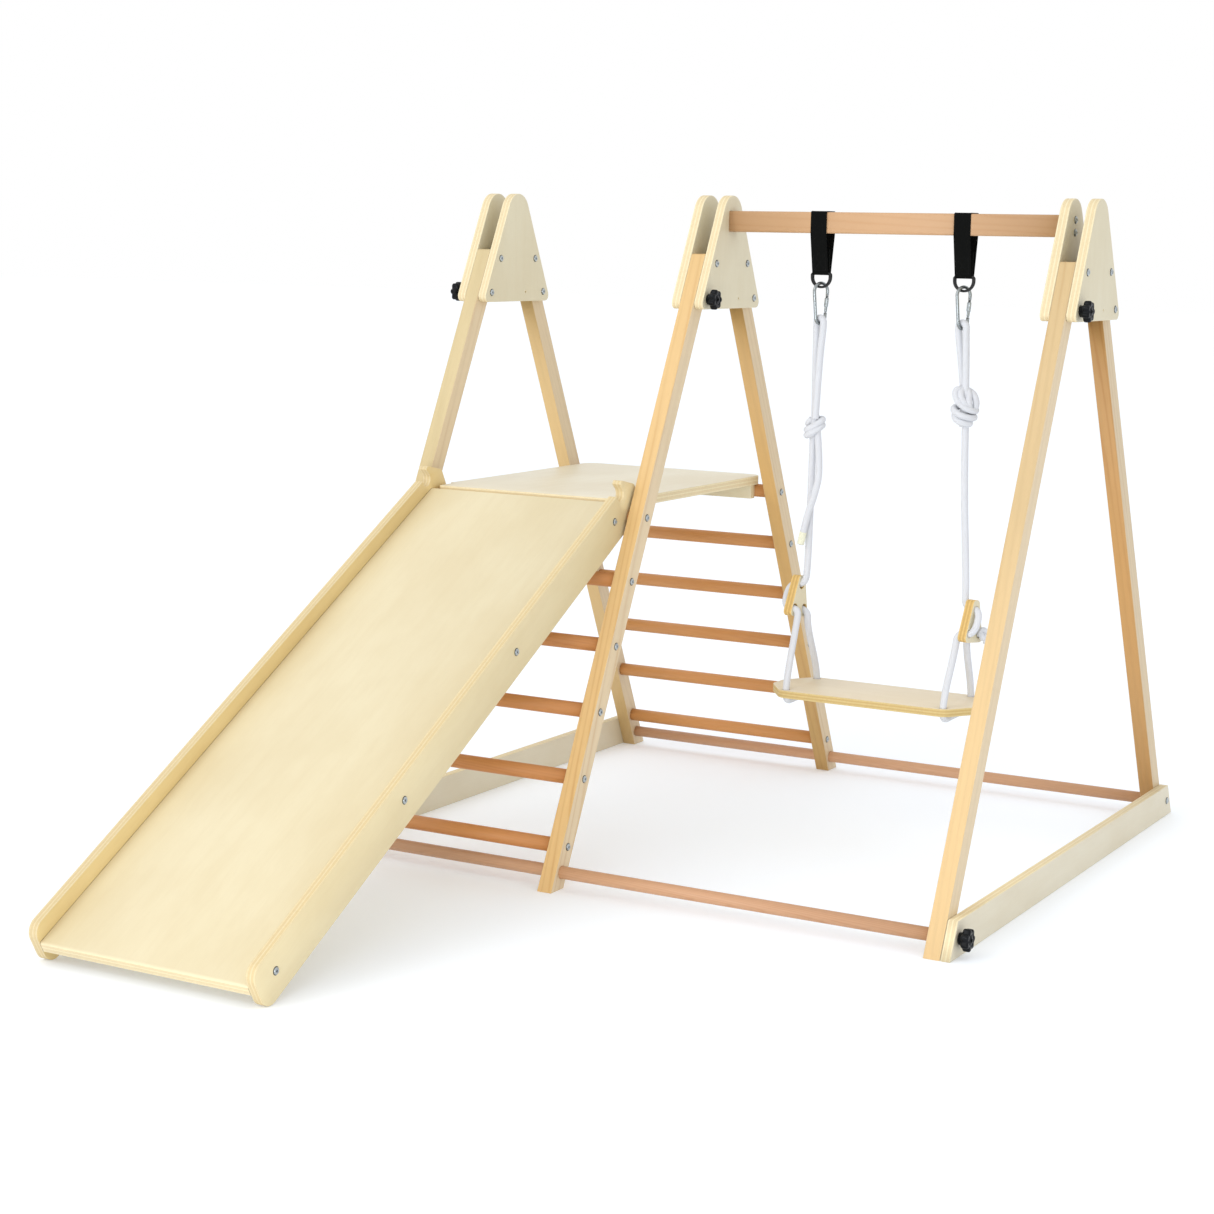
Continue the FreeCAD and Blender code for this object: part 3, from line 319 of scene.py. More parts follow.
def timber(name, tone, turn=(0, 0, 0), shift=(0, 0, 0), side_tone=None, knots=0.0,
           along="z", ring_scale=34.0, contrast=0.75, roughness=0.46, top_shade_share=0.0):
    """Solid wood whose grain runs along one axis of the turned coordinates."""
    s = Shader(name, roughness=roughness)
    squeeze = {"z": (1, 1, 0.055), "x": (0.055, 1, 1)}[along]
    stretched = s.place(squeeze, turn, shift)
    drift = s.noise(stretched, 9.0, 2.0)
    wave = {"wave_type": "BANDS", "bands_direction": "DIAGONAL", "wave_profile": "SIN"}
    rings = s.add("TexWave", wave, Vector=stretched, Scale=ring_scale, Distortion=14.0, Detail=2.0,
                  Detail_Scale=0.35, Detail_Roughness=0.5).outputs[1]
    rings = s.math("MULTIPLY", s.math("POWER", rings, 2.6), s.grey(drift, 0.35, 0.62, 0.15, 1.0))
    fibre = s.noise(stretched, 640.0, 5.0, 0.65)
    streak = s.noise(stretched, 120.0, 4.0, 0.55)
    figure = s.math("ADD", s.math("MULTIPLY", rings, 0.34), s.math("MULTIPLY", streak, 0.40))
    figure = s.math("ADD", figure, s.math("MULTIPLY", drift, 0.30))

    def graded(base):
        light = scaled(base, 1.0 + 0.07 * contrast)
        dark = tinted(base, [1 - drop * contrast for drop in (0.13, 0.27, 0.42)])
        color = s.ramp(figure, [(0.28, light), (0.52, base), (0.85, dark)])
        return s.mix(s.grey(fibre, 0.48, 0.78, 0.0, 0.30 * contrast), color, scaled(dark, 0.88))

    color = graded(tone)
    # Painted shade: the wood darkens towards the top, by the given share, standing in for weaker light
    # falling there.
    if top_shade_share:
        level = s.add("SeparateXYZ", None, Vector=s.place()).outputs[2]
        top_shade_color = scaled(tinted(tone, (0.7, 0.85, 0.8)), 0.25)
        color = s.mix(s.grey(level, 0.10, 0.75, 0.0, top_shade_share), color, top_shade_color)
    if side_tone is not None:
        sideways = s.grey(s.normal_along((1, 0, 0)), 0.35, 0.9)
        color = s.mix(sideways, color, graded(side_tone))
    if knots:
        long_spots = (9, 9, 2.2) if along == "z" else (2.2, 9, 9)
        spread = s.place(long_spots, turn, tuple(v + 0.37 for v in shift))
        cell = s.add("TexVoronoi", {"feature": "F1"}, Vector=spread, Scale=1.0, Randomness=1.0)
        near = cell.outputs["Distance"]
        halo = s.grey(near, 0.05 + knots * 0.10, 0.02, 0.0, 0.6)
        core = s.grey(near, 0.02 + knots * 0.035, 0.012, 0.0, 0.85)
        color = s.mix(halo, color, tinted(tone, (0.78, 0.60, 0.42)))
        color = s.mix(core, color, (0.24, 0.115, 0.05))
    rough = s.grey(fibre, 0.3, 0.8, roughness - 0.06, roughness + 0.12)
    height = s.math("ADD", s.math("MULTIPLY", fibre, 0.6), s.math("MULTIPLY", rings, 0.4))
    return s.finish(color, rough, height, strength=0.12, distance=0.0006)


FACE = (0.68, 0.62, 0.45)
EDGE_LIGHT = (0.80, 0.695, 0.455)
EDGE_DARK = (0.74, 0.605, 0.365)
GLUE = (0.46, 0.33, 0.165)
PAINTED_GAP_SHADE = (0.20, 0.13, 0.06)
LAYERS = 5.0


def plywood(name, axis, middle, thickness, turn=(0, 0, 0), face=FACE, grain=(1, 1, 0.08),
            edge_light=EDGE_LIGHT, edge_dark=EDGE_DARK, shift=(0, 0, 0), gap_at=None):
    """Birch plywood: a calm figured face, and banded layers with glue lines on its edges.
    axis is the thickness direction after the turn, 0 X, 1 Y or 2 Z; middle is where the board's
    middle lies along it, and thickness its own, in metres. gap_at is a middle and a half width
    between two side joints, along which a thin dark line of painted shade marks each gap."""
    s = Shader(name, roughness=0.44)
    flat = s.place((1, 1, 1), turn)
    part = s.add("SeparateXYZ", None, Vector=flat).outputs[axis]
    depth = s.math("DIVIDE", s.math("SUBTRACT", part, middle - thickness / 2), thickness)
    layer = s.math("MULTIPLY", depth, LAYERS)
    within = s.math("FRACT", layer)
    parity = s.math("MODULO", s.math("FLOOR", layer), 2.0)
    stretched = s.place(grain, turn, shift)
    cloud = s.noise(s.place(tuple(0.5 + g / 2 for g in grain), turn, shift), 7.0, 4.0, 0.6)
    figure = s.noise(stretched, 60.0, 5.0, 0.6, 0.4)
    fibre = s.noise(stretched, 520.0, 4.0, 0.6)
    skin = s.ramp(cloud, [(0.28, scaled(face, 1.03)), (0.72, tinted(face, (0.97, 0.945, 0.90)))])
    skin = s.mix(s.grey(figure, 0.45, 0.80, 0.0, 0.34), skin, tinted(face, (0.92, 0.87, 0.78)))
    skin = s.mix(s.grey(fibre, 0.5, 0.8, 0.0, 0.16), skin, scaled(face, 0.80))
    speck = s.noise(s.place((1, 1, 1), turn, shift), 210.0, 3.0, 0.5)
    bands = s.mix(s.grey(parity, 0.4, 0.6), edge_light, edge_dark)
    bands = s.mix(s.grey(speck, 0.40, 0.75, 0.0, 0.35), bands, scaled(edge_dark, 0.85))
    seam = s.math("ABSOLUTE", s.math("SUBTRACT", within, 0.5))
    worn = s.noise(s.place((1, 1, 1), turn, shift), 38.0, 3.0, 0.6)
    line = s.math("MULTIPLY", s.grey(seam, 0.425, 0.475, 0.0, 0.75), s.grey(worn, 0.30, 0.62, 0.25, 1.0))
    bands = s.mix(line, bands, GLUE)
    facing = Vector({0: (1, 0, 0), 1: (0, 1, 0), 2: (0, 0, 1)}[axis])
    facing = tuple(Euler(turn).to_matrix().inverted() @ facing)
    flatness = s.grey(s.normal_along(facing), 0.62, 0.80)
    color = s.mix(flatness, bands, skin)
    # Painted shade for the gaps: the board darkens in a thin line along each side joint.
    if gap_at:
        side = s.add("SeparateXYZ", None, Vector=s.place()).outputs[0]
        off = s.math("ABSOLUTE", s.math("SUBTRACT", side, gap_at[0]))
        joint = s.grey(off, gap_at[1] - 0.0016, gap_at[1] - 0.0004, 0.0, 0.85)
        color = s.mix(joint, color, PAINTED_GAP_SHADE)
    rough = s.grey(flatness, 0.0, 1.0, 0.66, 0.42)
    edge_height = s.math("MULTIPLY", s.math("ADD", s.math("MULTIPLY", line, -0.6), speck),
                         s.math("SUBTRACT", 1.0, flatness))
    height = s.math("ADD", s.math("MULTIPLY", fibre, 0.25), edge_height)
    return s.finish(color, rough, height, strength=0.16, distance=0.0006)


def dress(node, material, bevel=0.0):
    """Gives a carried node its material, clean shading and, where asked, broken edges."""
    obj = NODES[node]
    paint(obj, material)
    for polygon in obj.data.polygons:
        polygon.use_smooth = True
    weld = obj.modifiers.new("weld", "WELD")
    weld.merge_threshold = 1e-6
    if bevel:
        soft = obj.modifiers.new("bevel", "BEVEL")
        soft.width = bevel * MM
        soft.segments = 2
        soft.limit_method = "ANGLE"
        soft.angle_limit = math.radians(50)
        soft.harden_normals = True


LEG_TONES = {
    "left_front": (0.84, 0.66, 0.36), "middle_front": (0.90, 0.59, 0.255), "right_front": (0.87, 0.61, 0.305),
    "left_rear": (0.63, 0.435, 0.19), "middle_rear": (0.55, 0.34, 0.12), "right_rear": (0.52, 0.285, 0.095),
}
# Share of painted shade darkening each front leg towards its top.
TOP_SHADE_SHARES = {"left": 0.38, "middle": 0.33, "right": 0.42}
LEG_SIDES = {"front": (0.69, 0.55, 0.355), "rear": (0.62, 0.49, 0.31)}
RUNG_TONES = {"front": (0.60, 0.26, 0.082), "rear": (0.555, 0.252, 0.077)}
DOWEL_TONE = (0.545, 0.305, 0.17)
BAR_TONE = (0.565, 0.34, 0.178)


def dress_wood():
    for index, side in enumerate(FRAME_X):
        for sign, where in ((1, "front"), (-1, "rear")):
            top_shade_share = TOP_SHADE_SHARES[side] if where == "front" else 0.0
            turn = (sign * LEAN, 0, 0)
            shift = (0.31 * index, 0.17 * sign, 0.83 * index + 0.4 * sign)
            wood = timber(f"pine_{side}_{where}", LEG_TONES[f"{side}_{where}"], turn, shift,
                          side_tone=LEG_SIDES[where], knots=0.5, top_shade_share=top_shade_share)
            dress(f"{side}_{where}_leg", wood)
    beech = dict(along="x", contrast=0.6)
    for where, tone in RUNG_TONES.items():
        rungs = timber(f"beech_{where}_rungs", tone, ring_scale=90.0, roughness=0.5, **beech)
        for index in range(RUNGS):
            dress(f"{where}_rung_{index + 1}", rungs)
        dowel = timber(f"beech_{where}_dowel", DOWEL_TONE, ring_scale=120.0, **beech)
        dress(f"{where}_base_dowel", dowel)
    bar = timber("beech_bar", BAR_TONE, along="x", ring_scale=40.0, knots=0.2, contrast=0.3)
    dress("swing_bar", bar)


def leg_y(z, sign=-1):
    """Middle of a leg at a height: -1 for a front leg and 1 for a rear one."""
    return sign * (LEG_FOOT_Y - LEG_RUN * z)


def board(node, axis, **looks):
    """Plywood for a board that lies square to an axis of the row frame."""
    low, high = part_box(node)
    return plywood(f"ply_{node}", axis, (low[axis] + high[axis]) / 2, high[axis] - low[axis], **looks)


def dress_ply():
    gussets = ("left_outer", "left_inner", "middle_left", "middle_right", "right_inner", "right_outer")
    for index, name in enumerate(gussets):
        node = f"{name}_gusset"
        dress(node, board(node, 0, shift=(0, 0.21 * index, 0.37 * index)))
    along_y, along_x = (1, 0.08, 1), (0.08, 1, 1)
    for side in SIDES:
        node = f"{side}_base_beam"
        dress(node, board(node, 0, grain=along_y, face=(0.69, 0.632, 0.488)))
    dress_slide(grain=along_y, turn=(-SLOPE, 0, 0))
    deck = board("platform_deck", 2, grain=along_y, face=(0.75, 0.70, 0.56))
    dress("platform_deck", deck, bevel=1.2)
    dress("platform_cleat", board("platform_cleat", 1, grain=along_x), bevel=1.0)
    seat = board("swing_seat", 2, grain=along_x, face=(0.765, 0.67, 0.50),
                 edge_light=(0.63, 0.49, 0.215), edge_dark=(0.55, 0.385, 0.145))
    dress("swing_seat", seat, bevel=1.5)
    dress_adjusters()


def dress_slide(**down_slope):
    edges = dict(edge_light=(0.70, 0.58, 0.345), edge_dark=(0.65, 0.51, 0.275))
    for side, face in (("left", (0.78, 0.612, 0.298)), ("right", (0.765, 0.655, 0.40))):
        x = SLIDE_X + SIDES[side] * (SLIDE_WIDTH - RAIL_PLY) / 2
        rail = plywood(f"ply_slide_{side}_rail", 0, x * MM, RAIL_PLY * MM, face=face, **edges, **down_slope)
        dress(f"slide_{side}_rail", rail, bevel=1.2)
    rung_y = RIDGE_Y + leg_y(RUNG_TOP)
    middle = -math.sin(SLOPE) * rung_y + math.cos(SLOPE) * RUNG_TOP + BED_MIDDLE
    between_rails = (SLIDE_X * MM, (SLIDE_WIDTH / 2 - RAIL_PLY) * MM)
    bed = plywood("ply_slide_bed", 2, middle * MM, PLY * MM, face=(0.72, 0.637, 0.43),
                  gap_at=between_rails, **down_slope)
    dress("slide_bed", bed, bevel=0.6)


def dress_adjusters():
    for side, sign in SIDES.items():
        x, turn = SWING_X + sign * ROPE_SETS[side].plate, ROPE_SETS[side].turn
        middle = x * math.cos(turn) + RIDGE_Y * math.sin(turn)
        wood = plywood(f"ply_{side}_adjuster", 0, middle * MM, PLY * MM, turn=(0, 0, -turn),
                       edge_light=(0.70, 0.48, 0.17), edge_dark=(0.57, 0.36, 0.11))
        dress(f"{side}_adjuster", wood)


dress_wood()
dress_ply()


# ------------------------------------------------------------------ metal and plastic

def zinc(name, tone):
    s = Shader(name, roughness=0.32, metallic=1.0)
    cloud = s.noise(s.place(), 90.0, 4.0, 0.6)
    fine = s.noise(s.place((1, 1, 0.3)), 900.0, 3.0)
    color = s.ramp(cloud, [(0.3, scaled(tone, 0.85)), (0.7, scaled(tone, 1.15))])
    rough = s.grey(cloud, 0.3, 0.7, 0.22, 0.38)
    return s.finish(color, rough, fine, strength=0.06, distance=0.0003)


def black_plastic(name):
    s = Shader(name, roughness=0.30, Specular_IOR_Level=0.13)
    grain = s.noise(s.place(), 1400.0, 3.0)
    cloud = s.noise(s.place(), 60.0, 2.0)
    color = s.ramp(cloud, [(0.3, (0.0035, 0.0045, 0.0055)), (0.7, (0.008, 0.009, 0.011))])
    return s.finish(color, s.grey(grain, 0.3, 0.7, 0.24, 0.38), grain, strength=0.18, distance=0.0002)


ZINC = zinc("zinc", (0.44, 0.48, 0.50))
HOOK_ZINC = zinc("hook_zinc", (0.34, 0.37, 0.38))
BLACK = black_plastic("moulded_black")


def dress_metal():
    for node in ("frame_bolts", "front_ladder_screws", "slide_screws"):
        dress(node, ZINC)
    for side in SIDES:
        dress(f"{side}_snap_hook", HOOK_ZINC)
        dress(f"{side}_hook_gate", HOOK_ZINC)
    ring = Shader("ring_black", roughness=0.28, Specular_IOR_Level=0.25)
    wear = ring.noise(ring.place(), 160.0, 4.0)
    color = ring.ramp(wear, [(0.35, (0.010, 0.010, 0.011)), (0.8, (0.03, 0.03, 0.03))])
    dress("d_rings", ring.finish(color, ring.grey(wear, 0.3, 0.7, 0.22, 0.4)))


dress_metal()


def make_knob(name, node, body, centre, facing):
    """A seven-lobed star knob with a waisted hub and a dished, capped face."""
    around, lobes, lobe_radius, notch_depth = 112, 7, 20.4, 4.3
    turn = np.linspace(0, 2 * math.pi, around, endpoint=False)
    notch = 0.5 - 0.5 * np.cos(lobes * turn)
    lobed = lobe_radius - notch_depth * notch ** 1.3
    stud = [(-18.0, 0, 3.9, 0), (0.0, 0, 3.9, 0)]
    hub = [(0.1, 0, 10.4, 0), (0.7, 0, 11.0, 0), (5.6, 0, 11.2, 0), (7.2, 0.3, 12.2, 1.2),
           (8.0, 0.8, 14.0, 1.4)]
    grip = [(8.6, 1, 0, 1.6), (9.6, 1, 0, 0.5), (11.0, 1, 0, 0.05), (18.4, 1, 0, 0), (20.2, 1, 0, 0.5),
            (21.3, 1, 0, 1.7), (21.8, 1, 0, 3.4), (21.9, 0.55, 12.2, 2.6)]
    dished_cap = [(21.7, 0, 11.2, 0), (20.9, 0, 10.2, 0), (20.6, 0, 9.4, 0), (21.3, 0, 8.9, 0),
                  (21.9, 0, 7.6, 0), (22.1, 0, 4.0, 0)]
    # Each row: place along the axis, share of the lobed outline, round part's radius, lobes' inset.
    profile = stud + hub + grip + dished_cap
    vertices, faces = [], []
    for along, share, radius, inset in profile:
        reach = share * (lobed - inset) + (1 - share) * radius
        for angle, out in zip(turn, reach):
            vertices.append((along * MM, out * math.cos(angle) * MM, out * math.sin(angle) * MM))
    for k in range(len(profile) - 1):
        for j in range(around):
            after = (j + 1) % around
            low, high = k * around, (k + 1) * around
            faces.append((low + j, low + after, high + after, high + j))
    faces.append(tuple(range(around)))
    faces.append(tuple((len(profile) - 1) * around + j for j in range(around))[::-1])
    knob = mesh_object(name, vertices, faces)
    knob.data.flip_normals()
    knob.matrix_world = Matrix.Translation(centre) @ Matrix.Rotation(0 if facing > 0 else math.pi, 4, "Z")
    paint(knob, BLACK)
    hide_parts(node)
    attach(knob, body)


def make_knobs():
    gusset = (-LOWER_BOLT[0], LOWER_BOLT[1])
    foot = (leg_y(BEAM_BOLT_Z), BEAM_BOLT_Z)
    spots = [("left", "gusset", gusset, -1), ("middle", "gusset", gusset, 1), ("right", "gusset", gusset, 1),
             ("left", "foot", foot, -1), ("right", "foot", foot, 1)]
    for side, spot, (y, z), facing in spots:
        name, centre = f"{side}_{spot}", row(FRAME_X[side] + facing * KNOB_FACE, y, z)
        make_knob(f"{name}_star_knob", f"{name}_knob", f"{name}_knob_body", centre, facing)


make_knobs()


# ------------------------------------------------------------------ painted shade in bolt sockets and round bolt heads, and hook sleeves

def frame_bolt_faces():
    """Faces that the stand's button heads stand on, and which way each looks."""
    faces = []
    (high_y, high_z), (low_y, low_z) = UPPER_BOLT, LOWER_BOLT
    for x in FRAME_X.values():
        for y, z in ((-high_y, high_z), (high_y, high_z), (low_y, low_z)):
            faces += [(x + PLATE_FACE, y, z, 1), (x - PLATE_FACE, y, z, -1)]
    left, middle, right = FRAME_X.values()
    faces.append((left + PLATE_FACE, -low_y, low_z, 1))
    bar_z, bar_gap = (BAR_TOP + BAR_LOW) / 2, LEG_WIDTH / 2 + PLAY
    for lift in (-12, 12):
        faces += [(right - bar_gap, 0, bar_z + lift, 1), (middle + bar_gap, 0, bar_z + lift, -1)]
    for x, outward in ((right, 1), (left, -1)):
        faces.append((x + outward * KNOB_FACE, leg_y(BEAM_BOLT_Z, 1), BEAM_BOLT_Z, outward))
    return faces + ladder_faces(1)


def ladder_faces(sign):
    """The same for the screws in the rungs' ends, which are sunk in the left legs."""
    faces, sunk = [], 2.9
    for index in range(RUNGS):
        z = RUNG_TOP - RUNG_PITCH * index
        y = leg_y(z, sign)
        faces.append((FRAME_X["middle"] + LEG_WIDTH / 2, y, z, 1))
        faces.append((FRAME_X["left"] - LEG_WIDTH / 2 + sunk, y, z, -1))
    return faces


def slide_faces():
    faces, first, spacing = [], -58, 414.5
    for index in range(4):
        along = first - spacing * index
        y = leg_y(RUNG_TOP) + along * math.cos(SLOPE) - BED_MIDDLE * math.sin(SLOPE)
        z = RUNG_TOP + along * math.sin(SLOPE) + BED_MIDDLE * math.cos(SLOPE)
        faces += [(SLIDE_X + SLIDE_WIDTH / 2, y, z, 1), (SLIDE_X - SLIDE_WIDTH / 2, y, z, -1)]
    return faces


def socket_shade_disc(x, y, z, facing):
    """A dark hexagon at the bottom of a button head's socket: painted shade for the recess."""
    radius = 3.3
    vertices = [row(x + facing * depth, y + radius * math.cos(a), z + radius * math.sin(a))
                for depth in (1.12, 1.5) for a in np.linspace(0, 2 * math.pi, 6, endpoint=False)]
    faces = [tuple(range(6))[::-1], tuple(range(6, 12))]
    faces += [(k, (k + 1) % 6, 6 + (k + 1) % 6, 6 + k) for k in range(6)]
    return mesh_object("socket", vertices, faces, smooth=False)


def head_contact_shadow_ring(x, y, z, facing):
    """A thin dark ring round the foot of a button head: a painted contact shadow."""
    around, inner, outer, half = 28, 4.6, 7.4, 0.35
    section = ((-half, inner), (-half, outer), (half, outer), (half, inner))
    vertices = [row(x + facing * depth, y + radius * math.cos(a), z + radius * math.sin(a))
                for depth, radius in section for a in np.linspace(0, 2 * math.pi, around, endpoint=False)]
    faces = []
    for k in range(4):
        for j in range(around):
            after, above = (j + 1) % around, (k + 1) % 4 * around
            faces.append((k * around + j, k * around + after, above + after, above + j))
    return mesh_object("contact_shadow", vertices, faces, smooth=False)


def make_bolt_shade():
    # Painted shade: dark hexagons stand for the shade in the heads' sockets, and thin dark rings for the
    # contact shadows round the heads.
    s = Shader("socket_painted_shade", roughness=0.6, Specular_IOR_Level=0.2)
    shade_mottle = s.noise(s.place(), 1200.0, 3.0)
    look = s.finish(s.ramp(shade_mottle, [(0.3, (0.012, 0.013, 0.015)), (0.7, (0.035, 0.036, 0.04))]))
    sets = (("frame_bolt_painted_shade", frame_bolt_faces(), "stand"),
            ("ladder_screw_painted_shade", ladder_faces(-1), "front_ladder"),
            ("slide_screw_painted_shade", slide_faces(), "slide"))
    for name, faces, body in sets:
        sockets = join(name, [make(*face) for face in faces for make in (socket_shade_disc, head_contact_shadow_ring)])
        face_outwards(sockets)
        paint(sockets, look)
        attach(sockets, body)


make_bolt_shade()


def hook_axis_point(sign, across, z):
    """A point in a snap hook's own plane."""
    return row(SWING_X + sign * HANGER_OUT + across * math.cos(HOOK_YAW), across * math.sin(HOOK_YAW), z)


def make_hook_sleeves():
    """A fluted sleeve on each gate."""
    low, high = (11.3, 1060.3), (16.4, 1111.0)     # ends of the hook's gated side, in its plane

    def beside(share):
        return low[0] + (high[0] - low[0]) * share, low[1] + (high[1] - low[1]) * share

    def flutes(turn, along):
        return 0.22 * MM * np.sign(np.sin(10 * turn)) * np.ones_like(along)

    for side, sign in SIDES.items():
        ends = [hook_axis_point(sign, *beside(share)) for share in (0.42, 0.76)]
        sleeve = tube(f"{side}_gate_sleeve", resample(ends, 1.2 * MM), 3.9 * MM, 40, flutes)
        paint(sleeve, ZINC)
        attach(sleeve, f"{side}_gate")


make_hook_sleeves()


# ------------------------------------------------------------------ webbing straps

def rounded_line(points, radius):
    """A polyline in Y and Z with its corners rounded."""
    points = [Vector(p) for p in points]
    out = [points[0]]
    for before, corner, after in zip(points, points[1:], points[2:]):
        first, second = (before - corner), (after - corner)
        reach = min(radius, first.length * 0.49, second.length * 0.49)
        start, end = corner + first.normalized() * reach, corner + second.normalized() * reach
        for k in range(9):
            t = k / 8
            out.append(start * (1 - t) ** 2 + corner * 2 * t * (1 - t) + end * t * t)
    out.append(points[-1])
    return out


def ribbon(name, line, x, width, thickness):
    """Webbing of a given width along X following a line in Y and Z, with rolled selvedges."""
    flat = resample([(0.0, y, z) for y, z in line], 1.5)
    tangents = np.gradient(flat, axis=0)
    tangents /= np.linalg.norm(tangents, axis=1)[:, None]
    out = np.stack([np.zeros(len(flat)), -tangents[:, 2], tangents[:, 1]], 1)
    half, thick = width / 2, thickness / 2
    edge = [(-half, 0.55), (-half + 0.5, 1.0), (-half + 1.6, 1.0), (-half + 2.2, 0.78), (-half / 2, 0.8)]
    section = edge + [(0, 0.8)] + [(-across, share) for across, share in reversed(edge)]
    loop = [(a, b * thick) for a, b in section] + [(a, -b * thick) for a, b in reversed(section)]
    vertices, faces = [], []
    count = len(loop)
    for point, side in zip(flat, out):
        for across, off in loop:
            place = point + side * off
            vertices.append(row(x + across, place[1], place[2]))
    for k in range(len(flat) - 1):
        for j in range(count):
            after = (j + 1) % count
            low, high = k * count, (k + 1) * count
            faces.append((low + j, high + j, high + after, low + after))
    faces.append(tuple(range(count)))
    faces.append(tuple((len(flat) - 1) * count + j for j in range(count))[::-1])
    return mesh_object(name, vertices, faces)


def webbing():
    s = Shader("webbing", roughness=0.9, Specular_IOR_Level=0.05)
    warp_pitch, weft_pitch = 1.7 * MM, 2.1 * MM
    part = s.add("SeparateXYZ", None, Vector=s.place()).outputs
    across = s.math("SINE", s.math("MULTIPLY", part[0], 2 * math.pi / warp_pitch))
    down = s.math("ADD", part[2], part[1])
    weft = s.math("SINE", s.math("MULTIPLY", down, 2 * math.pi / weft_pitch))
    twill = s.math("MULTIPLY", across, weft)
    dust = s.noise(s.place(), 700.0, 3.0)
    color = s.mix(s.grey(twill, -1.0, 1.0), (0.0025, 0.0027, 0.0025), (0.0065, 0.007, 0.0065))
    color = s.mix(s.grey(dust, 0.6, 0.8, 0.0, 0.4), color, (0.012, 0.012, 0.012))
    return s.finish(color, s.grey(twill, -1.0, 1.0, 0.88, 0.7), twill, strength=0.5, distance=0.0004)


def stitches(name, x, line_y, low, high, slope, sign):
    """Box and cross stitching on a tail's outer face, between two heights."""
    pieces, half, pitch = [], 12.5, 3.4

    def on_face(across, z, proud):
        return np.array([x + across, line_y + sign * ((z - low) * slope + proud), z])

    corners = [(-half, low), (half, low), (half, high), (-half, high), (-half, low), (half, high)]
    runs = list(zip(corners, corners[1:])) + [((-half, high), (half, low))]
    for (x0, z0), (x1, z1) in runs:
        count = max(2, int(math.hypot(x1 - x0, z1 - z0) / pitch))
        for k in range(count):
            a, middle, b = (k + 0.15) / count, (k + 0.475) / count, (k + 0.8) / count
            points = [row(*on_face(x0 + (x1 - x0) * share, z0 + (z1 - z0) * share, proud))
                      for share, proud in ((a, 0.15), (middle, 0.5), (b, 0.15))]
            pieces.append(tube(f"{name}_t", points, 0.32 * MM, 6))
    return join(name, pieces)


def strap_line(half, top):
    """Y and Z down one side of a strap, from its sewn end round the ring and up to the bar."""
    wrap = RING_WIRE + 1.0
    inside, outside = RING_OUT - wrap, RING_OUT + wrap
    return [
        (1.25, 1196.0),
        (1.1, 1170.0),
        (inside + 0.1, STRAP_FOOT + 1.0),
        (RING_OUT - wrap * 0.7, STRAP_FOOT - wrap * 0.8),
        (RING_OUT + wrap * 0.7, STRAP_FOOT - wrap * 0.8),
        (outside + 0.2, STRAP_FOOT + 2.0),
        (half, BAR_LOW - 1),
        (half, top),
    ]


def make_straps():
    web = webbing()
    thread = Shader("strap_thread", roughness=0.7, Specular_IOR_Level=0.1)
    twist = thread.noise(thread.place(), 2500.0, 2.0)
    color = thread.ramp(twist, [(0.3, (0.008, 0.008, 0.009)), (0.7, (0.022, 0.022, 0.023))])
    thread_look = thread.finish(color)
    half, top = 20 + 1.25, BAR_TOP + 1.1
    right = strap_line(half, top)
    line = rounded_line(right + [(-y, z) for y, z in reversed(right)], 4.2)
    slope = (half - 7.2) / (BAR_LOW - STRAP_FOOT)
    for side, sign in SIDES.items():
        x = SWING_X + sign * HANGER_OUT
        band = ribbon(f"{side}_webbing_strap", line, x, 34, 1.7)
        paint(band, web)
        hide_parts(f"{side}_strap")
        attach(band, "stand")
        for face, turn in (("front", -1), ("rear", 1)):
            name = f"{side}_strap_stitches_{face}"
            sewn = stitches(name, x, turn * 8.25, STRAP_FOOT + 6, STRAP_FOOT + 36, slope, turn)
            paint(sewn, thread_look)
            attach(sewn, "stand")


make_straps()


# ------------------------------------------------------------------ ropes

def braid(turn, along, strands=7, pitch=0.030, depth=0.00075):
    """Height of a diamond braid on a tube, in metres."""
    round_ = strands * turn / (2 * math.pi)
    first, second = round_ + strands * along / pitch, round_ - strands * along / pitch
    cell = (np.floor(first) + np.floor(second)) % 2
    a, b = first - np.floor(first), second - np.floor(second)
    across, lengthwise = np.where(cell > 0.5, a, b), np.where(cell > 0.5, b, a)
    crown = 1 - (2 * across - 1) ** 2
    swell = np.sin(math.pi * lengthwise)
    return depth * (crown * (0.45 + 0.55 * swell) - 0.75)


def cord_material():
    tint = (0.655, 0.67, 0.705)
    s = Shader("rope_white", roughness=0.86, Specular_IOR_Level=0.3)
    fibre = s.noise(s.place(), 1500.0, 4.0, 0.6)
    cloud = s.noise(s.place(), 45.0, 3.0)
    color = s.mix(s.grey(fibre, 0.4, 0.75, 0.0, 0.3), tint, scaled(tint, 0.80))
    color = s.mix(s.grey(cloud, 0.35, 0.7, 0.0, 0.2), color, scaled(tint, 0.9))
    return s.finish(color, s.grey(fibre, 0.3, 0.7, 0.78, 0.92), fibre, strength=0.35, distance=0.0004)


ROPE = cord_material()


def spline_points(name, route):
    """The smooth line through a route's control points, read back from its NURBS spline."""
    data = bpy.data.curves.new(name, "CURVE")
    data.dimensions = "3D"
    data.resolution_u = 24
    spline = data.splines.new("NURBS")
    spline.points.add(len(route) - 1)
    for point, place in zip(spline.points, route):
        point.co = (*place, 1)
    spline.use_endpoint_u = True
    spline.order_u = 3
    guide = link(bpy.data.objects.new(name, data))
    bpy.context.view_layer.update()
    mesh = bpy.data.meshes.new_from_object(guide)
    points = [v.co.copy() for v in mesh.vertices]
    bpy.data.objects.remove(guide)
    bpy.data.meshes.remove(mesh)
    return points


